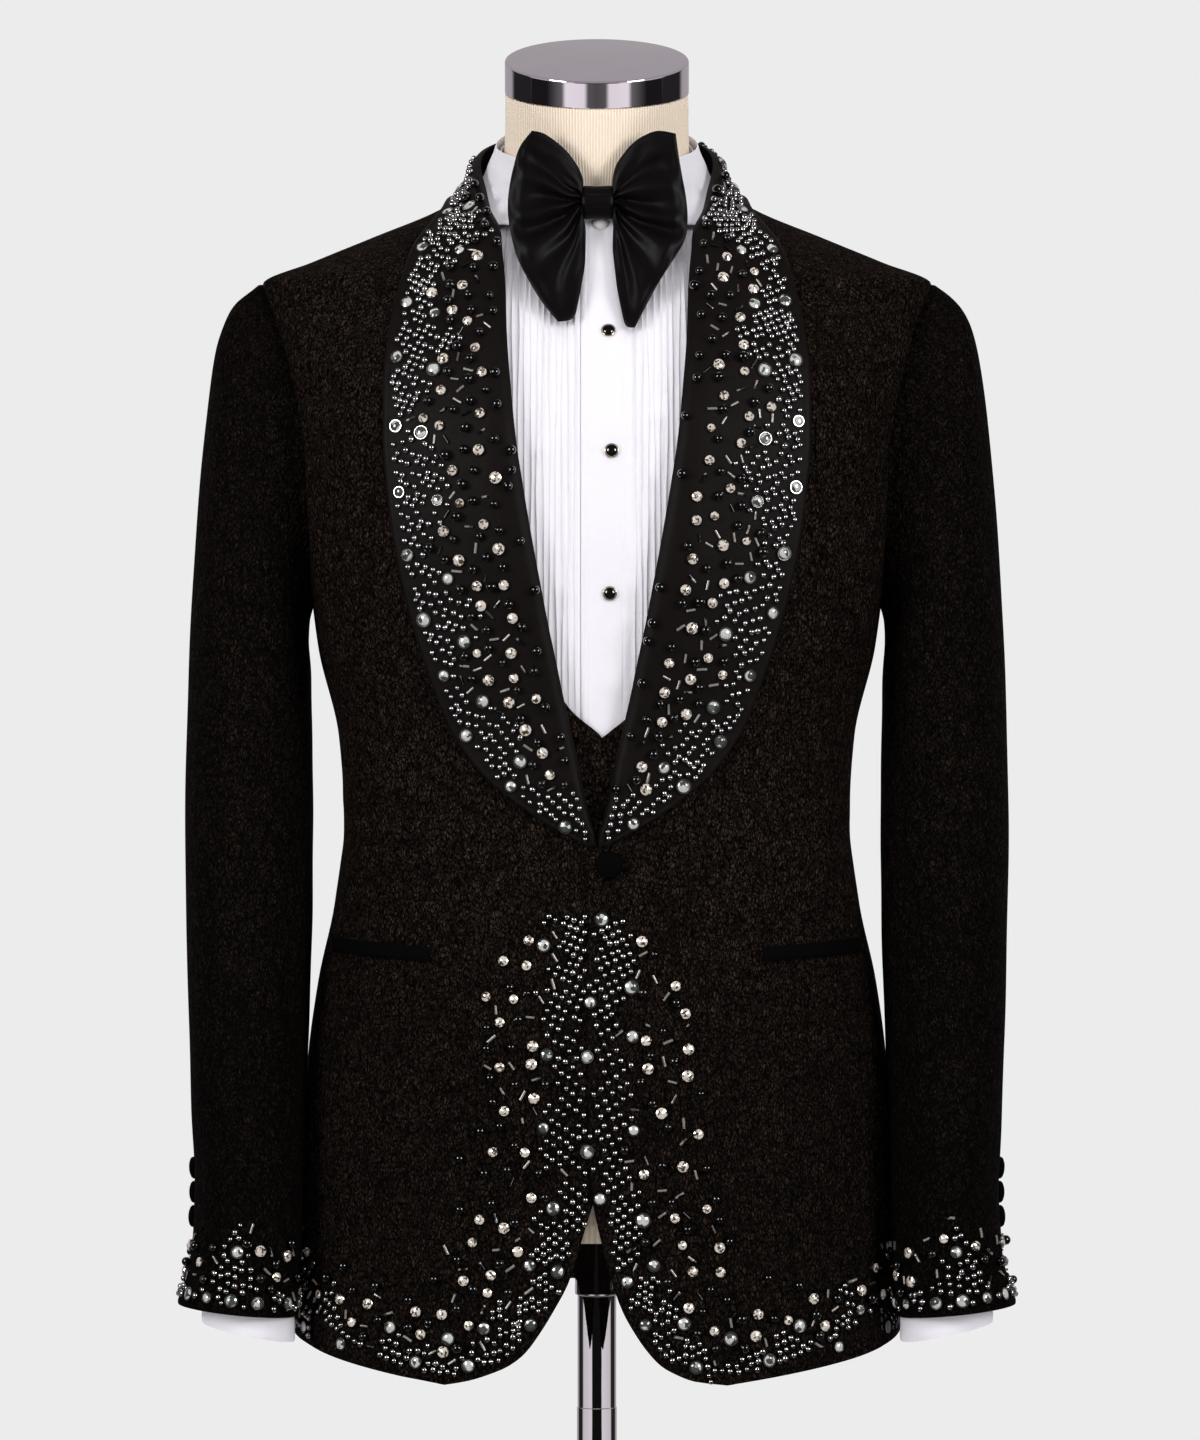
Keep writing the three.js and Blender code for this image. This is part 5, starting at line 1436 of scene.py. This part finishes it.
point, normal = on_body(FRONT_BUTTON["x"], FRONT_BUTTON["z"], FRONT_BUTTON["seat"] - 0.4)
covered_button("front_button", FRONT_BUTTON, point, normal, "jacket_button")
for i, (x, z, sink) in enumerate(STUDS):
    point, normal = on_body(x, z, SHIRT[0] + sink * 0.2 - 0.7)
    dressed_stud(f"stud_{i + 1}", STUD, point, normal, onyx, gold_rim, f"shirt_stud_{i + 1}")
point, normal = on_body(COLLAR_BUTTON["x"], COLLAR_BUTTON["z"], SHIRT[0] - 0.7)
dressed_stud("neck_button", COLLAR_BUTTON, point, normal, clear_button, clear_button, "collar_button")

for name, side in SIDES:
    for i in range(3):
        level = CUFF_BUTTON["from"] - CUFF_BUTTON["pitch"] * i
        rows = np.linspace(6, SLEEVE_ROW_COUNT, 400)
        turn = np.full_like(rows, CUFF_BUTTON["turn"])
        heights = sleeve_point(turn, rows, np.zeros_like(rows))[:, 2]
        row = np.array([np.interp(-level, -heights, rows)])
        turn = turn[:1]
        point = sleeve_point(turn, row, np.array([-SEAM]))[0]
        around = (sleeve_point(turn + 2, row, 0 * row) - sleeve_point(turn - 2, row, 0 * row))[0]
        down = (sleeve_point(turn, row + 0.1, 0 * row) - sleeve_point(turn, row - 0.1, 0 * row))[0]
        out = np.cross(around, down)
        out = out / np.linalg.norm(out) * np.sign(out[0])
        point, out = point * (side, 1, 1), out * (side, 1, 1)
        covered_button(f"sleeve_button_{name}_{i + 1}", CUFF_BUTTON, point, out, f"cuff_button_{name}_{i + 1}")


# Beads: one model of each, copied many times into joined meshes


def bead_model(name, add, finishes, shape=None, flat=False, **sizes):
    piece = primitive(name, add, finishes, **sizes)
    if shape:
        shape(piece)
        bpy.ops.object.mode_set(mode="OBJECT")
    apply_all(piece)
    mesh = piece.data
    mesh.calc_loop_triangles()
    points = np.array([v.co for v in mesh.vertices]) / MM
    faces = np.array([t.vertices for t in mesh.loop_triangles])
    marks = np.array([t.material_index for t in mesh.loop_triangles])
    bpy.data.objects.remove(piece)
    bpy.data.meshes.remove(mesh)
    return {"points": points, "faces": faces, "marks": marks, "finishes": finishes, "flat": flat}


def sew_beads(name, model, spots):
    """Joined copies of one bead, each set on the cloth along its normal and turned by its own spin."""
    if not spots:
        return
    points, normals, spins, sizes = (np.array(x) for x in zip(*spots))
    helper = np.where(np.abs(normals[:, 2:]) < 0.9, np.array([[0.0, 0, 1]]), np.array([[1.0, 0, 0]]))
    first = np.cross(helper, normals)
    first /= np.linalg.norm(first, axis=1, keepdims=True)
    second = np.cross(normals, first)
    c, s = np.cos(spins)[:, None], np.sin(spins)[:, None]
    axes = np.stack([c * first + s * second, c * second - s * first, normals], 1)
    shape = model["points"][None] * sizes[:, None, None]
    placed = np.einsum("nki,nij->nkj", shape, axes) + points[:, None]
    count = len(model["points"])
    faces = (model["faces"][None] + (np.arange(len(points)) * count)[:, None, None]).reshape(-1, 3)
    mesh = bpy.data.meshes.new(name)
    mesh.from_pydata((placed.reshape(-1, 3) * MM).tolist(), [], faces.tolist())
    if not model["flat"]:
        mesh.shade_smooth()
        mesh.set_sharp_from_angle(angle=math.radians(55))
    for finish in model["finishes"]:
        mesh.materials.append(finish)
    if len(model["finishes"]) > 1:
        mesh.polygons.foreach_set("material_index", np.tile(model["marks"], len(points)).astype(np.int32))
    piece = bpy.data.objects.new(name, mesh)
    bpy.context.scene.collection.objects.link(piece)
    ride(piece)


def shape_stone(piece):
    """A silver cup with a low glass dome in it."""
    top_face(piece)
    turned_step(0.42, 0.0)
    turned_step(0.1, -0.3)
    bpy.context.object.active_material_index = 1
    bpy.ops.object.material_slot_assign()
    turned_step(0.34, 0.15)
    bpy.context.object.active_material_index = 2
    bpy.ops.object.material_slot_assign()
    turned_step(0.8, 0.7)
    turned_step(1.1, 0.4)


def shape_crystal(piece):
    """A cut crystal in a cup."""
    top_face(piece)
    turned_step(0.25, 0.5)
    bpy.context.object.active_material_index = 1
    turned_step(0.1, 0.15)
    bpy.ops.object.material_slot_assign()
    turned_step(1.1, 0.6)
    bpy.ops.mesh.poke(offset=0.0008)


def shape_round(piece):
    """A round bead without the part that sinks in the cloth."""
    bpy.ops.object.mode_set(mode="EDIT")
    shape = bmesh.from_edit_mesh(piece.data)
    bpy.ops.mesh.select_all(action="DESELECT")
    low = min(vertex.co.z for vertex in shape.verts)
    for face in shape.faces:
        face.select_set(face.calc_center_median().z < low * 0.62)
    bmesh.update_edit_mesh(piece.data)
    bpy.ops.mesh.delete(type="FACE")


ico, tube = bpy.ops.mesh.primitive_ico_sphere_add, bpy.ops.mesh.primitive_cylinder_add
seed_model = bead_model(
    "seed", ico, [hematite], shape_round, subdivisions=2, radius=1.9 * MM, location=(0, 0, 1.1 * MM),
)
pearl_model = bead_model(
    "pearl_bead", ico, [black_pearl], shape_round, subdivisions=2, radius=3.0 * MM, location=(0, 0, 2.6 * MM),
)
bugle_model = bead_model(
    "bugle", tube, [glass_tube], vertices=8, radius=0.8 * MM, depth=5.8 * MM,
    rotation=(0, math.pi / 2, 0), location=(0, 0, 0.8 * MM),
)
stone_model = bead_model(
    "stone", tube, [silver_rim, onyx, pale_glass], shape_stone, vertices=16, radius=4.1 * MM, depth=1.9 * MM,
    location=(0, 0, 0.95 * MM),
)
crystal_model = bead_model(
    "crystal", tube, [silver_rim, champagne_glass], shape_crystal, flat=True, vertices=12, radius=3.6 * MM,
    depth=1.8 * MM, location=(0, 0, 0.9 * MM),
)


class Sewing:
    """Beads already sewn, in cells, so that the next one keeps clear of them."""

    CELL = 9.0

    def __init__(self):
        self.cells = {}

    def key(self, point):
        return tuple(int(math.floor(c / self.CELL)) for c in point)

    def fits(self, point, radius):
        x, y, z = self.key(point)
        for i in (-1, 0, 1):
            for j in (-1, 0, 1):
                for k in (-1, 0, 1):
                    for other, reach in self.cells.get((x + i, y + j, z + k), ()):
                        gap = radius + reach
                        d0, d1, d2 = point[0] - other[0], point[1] - other[1], point[2] - other[2]
                        if d0 * d0 + d1 * d1 + d2 * d2 < gap * gap:
                            return False
        return True

    def add(self, point, radius):
        self.cells.setdefault(self.key(point), []).append((point, radius))


SEED_PITCH = 4.5
REACH = {"stone": 4.5, "crystal": 4.1, "pearl": 3.3, "bugle": 2.8, "seed": 1.95}
chance = np.random.default_rng(41)
SEED_SHARE = 0.95
sewn = Sewing()
spots = {(kind, name): [] for kind in REACH for name, _ in SIDES}


def wave(s, period, phase):
    """A row of slanting peaks from 0 to 1."""
    share = (s / period + phase) % 1.0
    return np.where(share < 0.62, share / 0.62, (1 - share) / 0.38)


def covered(name, points, reach):
    """Whether a place on the right side lies under the left front's overlap."""
    over = fields["front_left"].points[:, 0]
    line = np.interp(points[:, 2], over[:, 2], over[:, 0])
    return (name == "right") & (points[:, 1] < 0) & (points[:, 0] > line - reach) & (points[:, 2] < ROLL_START)


def sew_spots(name, field, kind, u, v, want, apart=0.0):
    """Sews one kind of bead at the wanted places of a field, in the order given, where there is room."""
    points, normals = field.at(u, v), field.at(u, v, field.normals)
    own = Sewing()
    for i in np.nonzero(want * ~covered(name, points, REACH[kind]))[0]:
        point = tuple(points[i])
        if not sewn.fits(point, REACH[kind]):
            continue
        if apart and not own.fits(point, apart / 2):
            continue
        sewn.add(point, REACH[kind])
        own.add(point, apart / 2)
        normal = normals[i] / np.linalg.norm(normals[i])
        size = 1 + 0.08 * float(chance.standard_normal()) if kind != "seed" else 0.86 + 0.3 * float(chance.random())
        spots[kind, name].append((points[i], normal, float(chance.random()) * 2 * math.pi, min(max(size, 0.8), 1.16)))


def seed_rows(name, field, measure, wanted, slant=0.35):
    """Sews seed beads in staggered rows, a little uneven, wherever they are wanted."""
    length = float(field.up[-1].mean())
    spots_u, spots_v = [], []
    for k, level in enumerate(np.arange(2.0, length, SEED_PITCH * 0.87)):
        width = float(np.interp(level / length, field.v, field.across[:, -1]))
        place = np.arange(1.0 + SEED_PITCH / 2 * (k % 2), width, SEED_PITCH)
        place = place + chance.normal(0, 0.3, len(place))
        spots_u.append(place / width)
        spots_v.append((level + slant * place + chance.normal(0, 0.3, len(place))) / length % 1.0)
    u, v = np.clip(np.concatenate(spots_u), 0, 1), np.concatenate(spots_v)
    along, away = measure(u, v)
    sew_spots(name, field, "seed", u, v, (chance.random(len(u)) < SEED_SHARE) * (wanted(along, away) > 0))


def uneven(start, end, pitch, shift):
    """Places at a pitch, each moved a little by chance."""
    places = np.arange(start, end, pitch)
    return places + chance.uniform(-shift, shift, len(places))


def above_end(field, share, distance):
    """The place down a column of a field that lies a given distance from its end."""
    column = int(share * (len(field.u) - 1))
    return np.interp(-distance, field.up[:, column] - field.up[-1, column], field.v)


def bead_field(name, field, count, measure, rules):
    """Throws beads of each kind at a field. measure gives a place's run along its edge and distance from it."""
    for kind, share, apart, rule in rules:
        tries = int(count * share)
        u, v = chance.random(tries), chance.random(tries)
        along, away = measure(u, v)
        odds = rule(along, away)
        sew_spots(name, field, kind, u, v, chance.random(tries) < odds, apart)


def seeds_on():
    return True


# Lapels: a seed field in slanting wedges along the free edge, then bugles, pearls and crystals, then bare satin
for name, side in SIDES:
    field = fields[f"lapel_{name}"]
    edge_run = field.up[:, -1]
    width_at = field.across[:, -1]

    def lapel_measure(u, v, field=field, edge_run=edge_run, width_at=width_at):
        width = np.interp(v, field.v, width_at)
        return np.interp(v, field.v, edge_run), np.stack([(1 - u) * width, u * width, v])

    def wedge(s, side=side):
        tip = 80 * smooth((72 - s) / 14)
        return np.maximum(tip, 24 + 30 * wave(s, 87 + 3 * side, 0.35 + 0.1 * side))

    ends = float(np.interp(0.86, field.v, edge_run))
    s = uneven(26, ends, 41, 3)
    at_v = np.interp(s, edge_run, field.v)
    at_u = 1 - (10 + chance.uniform(-1, 1.5, len(s))) / np.interp(at_v, field.v, width_at)
    sew_spots(name, field, "stone", at_u, at_v, at_u > 0.05)
    s = uneven(46, ends, 43, 4)
    at_v = np.interp(s, edge_run, field.v)
    at_u = 1 - (wedge(s) * 0.72 + 4) / np.interp(at_v, field.v, width_at)
    sew_spots(name, field, "stone", at_u, at_v, at_u > 0.12)

    def fade_back(place):
        return smooth((0.93 - place) / 0.12)

    def crystal_odds(s, d, wedge=wedge):
        return (d[0] > wedge(s) * 0.8 + 3) * (d[1] > 15) * (d[0] < 74) * fade_back(d[2])

    def pearl_odds(s, d, wedge=wedge):
        fewer = blend(0.85, 0.25, smooth((d[0] - 45) / 40))
        return (d[0] > wedge(s) * 0.85) * (d[1] > 3.5) * fewer * fade_back(d[2])

    def bugle_odds(s, d, wedge=wedge):
        clear = (d[0] > wedge(s) - 5) * (d[0] > 9) * (d[1] > 9)
        return clear * smooth((78 - d[0]) / 40) * fade_back(d[2])

    def seeds_wanted(s, d, wedge=wedge):
        return (d[0] > 7) * (d[0] < wedge(s)) * (d[1] > 5) * (d[2] < 0.9)

    rules = (("crystal", 0.30, 19, crystal_odds), ("pearl", 0.35, 11.5, pearl_odds), ("bugle", 0.6, 7.6, bugle_odds))
    bead_field(name, field, 5200, lapel_measure, rules)
    if seeds_on():
        seed_rows(name, field, lapel_measure, seeds_wanted)

# Front edges and hem: the same kinds thin out from the edge, with peaks of seeds along the hem
SKIRT_TOP = 604
OVERLAP_FROM = 405
SKIRT_SHARE = 0.35
for name, side in SIDES:
    field = fields[f"front_{name}"]
    low = field.v <= SKIRT_SHARE
    edge = field.points[low, 0][::-1]
    if name == "right":
        edge = np.where(edge[:, 2:] > OVERLAP_FROM, fields["front_left"].points[low, 0][::-1], edge)
    hem_line = field.points[0, 1:]
    border = np.concatenate([edge, hem_line])
    border_run = np.concatenate([[0], np.cumsum(np.linalg.norm(np.diff(border, axis=0), axis=1))])
    corner_run = float(border_run[len(edge) - 1])

    def skirt_measure(u, v, field=field, border=border, border_run=border_run):
        points = field.at(u, v)
        gap = np.linalg.norm(points[:, None, :] - border[None, ::2], axis=2)
        nearest = gap.argmin(1)
        return border_run[::2][nearest], np.stack([gap.min(1), points[:, 2]])

    def skirt_band(s, side=side, corner_run=corner_run):
        down = 20 + 17 * wave(s, 74, 0.2 + 0.15 * side)
        hem = 15 + 15 * wave(s, 66, 0.1)
        peak = 46 * np.clip(1 - np.abs(s - corner_run - 92) / 26, 0, 1)
        return np.where(s < corner_run - 20, down, np.maximum(hem, 9 + peak))

    def bare(z, name=name):
        """The plain strip along the edge, which the overlap hides on the right front."""
        return np.where((name == "right") & (z > OVERLAP_FROM), 1, 7)

    def skirt_reach(s, z, corner_run=corner_run):
        """How far beads scatter from the border: narrow at the top, wider down the skirt and less along the hem."""
        front = np.interp(z, (400, 445, 547, 584, SKIRT_TOP + 4), (82, 86, 74, 57, 22))
        return np.where(s < corner_run - 40, front, 58)

    cloth = field.points.reshape(-1, 3)
    cloth_u, cloth_v = (places.ravel() for places in np.meshgrid(field.u, field.v))
    for away, start, pitch in ((11, 8, 46), (29, 30, 52)):
        s = uneven(start, border_run[-1] - 6, pitch, 4)
        place = np.stack([np.interp(s, border_run, border[:, k]) for k in range(3)], -1)
        for target in place:
            near = np.linalg.norm(cloth - target, axis=1) < away + 26
            if not near.any():
                continue
            near_points = cloth[near]
            distance = np.linalg.norm(near_points[:, None] - border[None, ::3], axis=2).min(1)
            score = np.abs(distance - away) + 0.25 * np.linalg.norm(near_points - target, axis=1)
            best = slice(score.argmin(), score.argmin() + 1)
            wanted = near_points[best, 2] < SKIRT_TOP
            sew_spots(name, field, "stone", cloth_u[near][best], cloth_v[near][best], wanted)

    def crystal_odds(s, d, band=skirt_band, reach=skirt_reach):
        clear = (d[1] + 8 < SKIRT_TOP) * (d[0] > band(s) * 0.9 + 5)
        return clear * smooth((reach(s, d[1]) - d[0]) / 22) * 0.6

    def pearl_odds(s, d, band=skirt_band, reach=skirt_reach):
        return (d[1] < SKIRT_TOP) * (d[0] > band(s)) * 0.5 * smooth((reach(s, d[1]) + 9 - d[0]) / 38)

    def bugle_odds(s, d, band=skirt_band, reach=skirt_reach):
        return (d[1] < SKIRT_TOP) * (d[0] > band(s) - 5) * 0.55 * smooth((reach(s, d[1]) - d[0]) / 42)

    def seeds_wanted(s, d, band=skirt_band, reach=skirt_reach, bare=bare):
        return (d[1] < SKIRT_TOP) * (d[0] > bare(d[1])) * (d[0] < np.minimum(band(s), reach(s, d[1])))

    rules = (("crystal", 0.35, 27, crystal_odds), ("pearl", 0.6, 14, pearl_odds), ("bugle", 0.7, 10, bugle_odds))
    bead_field(name, field, 9000, skirt_measure, rules)
    if seeds_on():
        seed_rows(name, field, skirt_measure, seeds_wanted)

    for part in ("side", "back"):
        field = fields[f"{part}_{name}"]

        def hem_measure(u, v, field=field):
            points = field.at(u, v)
            low = field.at(u, 0 * v)
            turn = np.degrees(np.arctan2(np.abs(points[:, 0]), -points[:, 1]))
            return turn * TURN_LENGTH, np.linalg.norm(points - low, axis=1)

        def hem_band(s):
            return 14 + 16 * wave(s, 66, 0.4)

        u = np.arange(0.06, 1, 0.2 if part == "back" else 0.36)
        for level, shift in ((10, 0.0), (27, 0.5)):
            at_u = np.clip(u + shift * (u[1] - u[0]), 0, 0.97)
            height = np.interp(at_u, field.u, np.arange(len(field.u))).astype(int)
            at_v = np.array([np.interp(level, field.up[:, h], field.v) for h in height])
            sew_spots(name, field, "stone", at_u, at_v, at_v > 0)
        rules = (
            ("crystal", 0.3, 30, lambda s, d: (d > hem_band(s) + 6) * (d < 62)),
            ("pearl", 0.5, 16, lambda s, d: (d > hem_band(s)) * 0.8 * smooth((80 - d) / 60)),
            ("bugle", 0.6, 12, lambda s, d: (d > hem_band(s) - 4) * smooth((70 - d) / 50)),
        )
        bead_field(name, field, 5000, hem_measure, rules)
        if seeds_on():
            seed_rows(name, field, hem_measure, lambda s, d: (d > 6) * (d < hem_band(s)))

# Cuffs: a band of seeds that rises to one peak on the front of the sleeve
CUFF_PEAK = 84
for name, side in SIDES:
    for part, low, high in SLEEVE_PIECES:
        field = fields[f"sleeve_{part}_{name}"]

        def cuff_measure(u, v, field=field, low=low, high=high):
            points, end = field.at(u, v), field.at(u, 0 * v + 1)
            return blend(low, high, u), np.linalg.norm(points - end, axis=1)

        def cuff_band(angle):
            peak = 46 * np.clip(1 - np.abs(angle - CUFF_PEAK) / 34, 0, 1)
            back = 30 * np.clip(1 - np.abs(angle - 262) / 30, 0, 1)
            return 13 + 4 * np.sin(angle * 0.11) + peak + back

        u = np.arange(0.05, 1, 0.135)
        at_v = np.array([above_end(field, share, 9) for share in u])
        sew_spots(name, field, "stone", u, at_v, at_v > 0)
        if part == "top":
            middle = (CUFF_PEAK - low) / (high - low)
            rise = above_end(field, middle, 40)
            sew_spots(name, field, "stone", np.array([middle]), np.array([rise]), np.array([True]))
        rules = (
            ("crystal", 0.2, 30, lambda s, d: (d > cuff_band(s) + 5) * (d < 50) * 0.5),
            ("pearl", 0.3, 15, lambda s, d: (d > cuff_band(s)) * smooth((62 - d) / 40) * 0.6),
            ("bugle", 0.4, 12, lambda s, d: (d > cuff_band(s)) * smooth((66 - d) / 40) * 0.6),
        )
        bead_field(name, field, 4000, cuff_measure, rules)
        if seeds_on():
            seed_rows(name, field, cuff_measure, lambda s, d: (d > 5) * (d < cuff_band(s)))

BEADS = {
    "stone": ("stones", stone_model, "chrome"),
    "crystal": ("crystals", crystal_model, "pearl"),
    "pearl": ("pearls", pearl_model, "onyx"),
    "bugle": ("bugles", bugle_model, "onyx"),
    "seed": ("seeds", seed_model, "onyx"),
}
for (kind, name), places in spots.items():
    label, model, slot = BEADS[kind]
    sew_beads(f"{label}_{name}", model, places)


# Studio: floor, lights, plain pale surround and camera

floor = primitive(
    "floor", bpy.ops.mesh.primitive_circle_add, [],
    vertices=96, radius=2.3, fill_type="NGON", location=(0, 0, -0.0005),
)
paper = Finish("pale_floor", Roughness=0.9, Specular_IOR_Level=0.2)
paper_tone = noise(paper, paper.places(), 3, 3, 0.5)
paper.feed("Base Color", paper.mix(paper_tone, (0.78, 0.78, 0.78), (0.82, 0.82, 0.82)))
floor.data.materials.append(paper.material)
apply_all(floor)
floor.visible_glossy = False

AIM = Vector((0.002, 0.0, 0.725))


for name, place, width, height, power, mirrored in (
    ("front_left", (-2.15, -2.0, 1.58), 1.05, 1.25, 46, True),
    ("front_right", (2.15, -2.0, 1.58), 1.05, 1.25, 46, True),
    ("over_front", (0, -2.3, 2.7), 1.8, 1.3, 30, False),
    ("top", (0, -0.3, 3.4), 2.2, 1.6, 22, False),
    ("back_left", (-1.9, 2.6, 1.9), 1.4, 1.4, 44, False),
    ("back_right", (1.9, 2.6, 1.9), 1.4, 1.4, 44, False),
):
    light = bpy.data.lights.new(name, "AREA")
    light.shape, light.size, light.size_y, light.energy = "RECTANGLE", width, height, power
    lamp = bpy.data.objects.new(name, light)
    lamp.location = place
    lamp.rotation_euler = (AIM - Vector(place)).to_track_quat("-Z", "Y").to_euler()
    lamp.visible_glossy = mirrored
    bpy.context.scene.collection.objects.link(lamp)

world = bpy.data.worlds.new("surround")
world.use_nodes = True
bpy.context.scene.world = world
tree = world.node_tree
tree.nodes.clear()
place = tree.nodes.new("ShaderNodeTexCoord")
axes = tree.nodes.new("ShaderNodeSeparateXYZ")
tree.links.new(place.outputs["Generated"], axes.inputs[0])
bearing = tree.nodes.new("ShaderNodeMath")
bearing.operation = "ARCTAN2"
tree.links.new(axes.outputs[0], bearing.inputs[0])
tree.links.new(axes.outputs[1], bearing.inputs[1])
spread_out = tree.nodes.new("ShaderNodeMapRange")
spread_out.inputs[1].default_value, spread_out.inputs[2].default_value = -math.pi, math.pi
tree.links.new(bearing.outputs[0], spread_out.inputs[0])


def add_node(kind, *values):
    node = tree.nodes.new(kind)
    for index, value in enumerate(values):
        if value is None:
            continue
        if isinstance(value, bpy.types.NodeSocket):
            tree.links.new(value, node.inputs[index])
        else:
            node.inputs[index].default_value = value
    return node


def screens_by_bearing(stops):
    """Greys by bearing from the front, the same on both sides, as a ramp from back to front to back."""
    ramp = add_node("ShaderNodeValToRGB", spread_out.outputs[0])
    both = [(degrees / 360, grey) for degrees, grey in stops]
    both += [(1 - degrees / 360, grey) for degrees, grey in stops[::-1]]
    while len(ramp.color_ramp.elements) < len(both):
        ramp.color_ramp.elements.new(0.5)
    for element, (where, grey) in zip(ramp.color_ramp.elements, both):
        element.position = where
        element.color = (grey, grey * 0.93, grey * 0.985, 1)
    return ramp.outputs[0]


def mixed(factor, one, other):
    made = tree.nodes.new("ShaderNodeMix")
    made.data_type = "RGBA"
    for index, socket in ((0, factor), (6, one), (7, other)):
        tree.links.new(socket, made.inputs[index])
    return made.outputs[2]


LOW_SCREENS = (
    (0, 0.09), (12, 0.12), (17, 0.95), (42, 1.0), (47, 0.16), (60, 0.06), (68, 0.012), (128, 0.012), (137, 0.42),
    (180, 0.42),
)
LEVEL_SCREENS = ((0, 0.006), (27, 0.006), (29, 0.80), (86, 0.66), (94, 0.02), (128, 0.02), (137, 0.42), (180, 0.42))
SOFT_SCREENS = ((0, 0.05), (40, 0.05), (60, 0.03), (110, 0.03), (135, 0.30), (180, 0.36))
height = add_node("ShaderNodeMapRange", axes.outputs[2], -0.175, -0.158, 0.0, 1.0)
sharp = mixed(height.outputs[0], screens_by_bearing(LOW_SCREENS), screens_by_bearing(LEVEL_SCREENS))
above = add_node("ShaderNodeMapRange", axes.outputs[2], 0.12, 0.25, 0.0, 1.0)
sharp = mixed(above.outputs[0], sharp, screens_by_bearing(((0, 0.34), (180, 0.42))))
seen = tree.nodes.new("ShaderNodeLightPath")
surround = mixed(seen.outputs["Is Singular Ray"], screens_by_bearing(SOFT_SCREENS), sharp)
plain = add_node("ShaderNodeBackground", (0.838, 0.838, 0.842, 1))
lit = add_node("ShaderNodeBackground", surround, 1.0)
choice = add_node("ShaderNodeMixShader", seen.outputs["Is Camera Ray"], lit.outputs[0], plain.outputs[0])
output = tree.nodes.new("ShaderNodeOutputWorld")
tree.links.new(choice.outputs[0], output.inputs[0])

CAMERA = Vector((0.002, -5.0, 0.80))
FRAME_HEIGHT = 0.9216
SENSOR = 36.0
lens = bpy.data.cameras.new("camera")
lens.sensor_width = SENSOR
lens.sensor_fit = "AUTO"
lens.lens = SENSOR * (AIM - CAMERA).length / FRAME_HEIGHT
camera = bpy.data.objects.new("camera", lens)
camera.location = CAMERA
camera.rotation_euler = (AIM - CAMERA).to_track_quat("-Z", "Y").to_euler()
bpy.context.scene.collection.objects.link(camera)
bpy.context.scene.camera = camera
bpy.context.scene.view_settings.view_transform = "Standard"
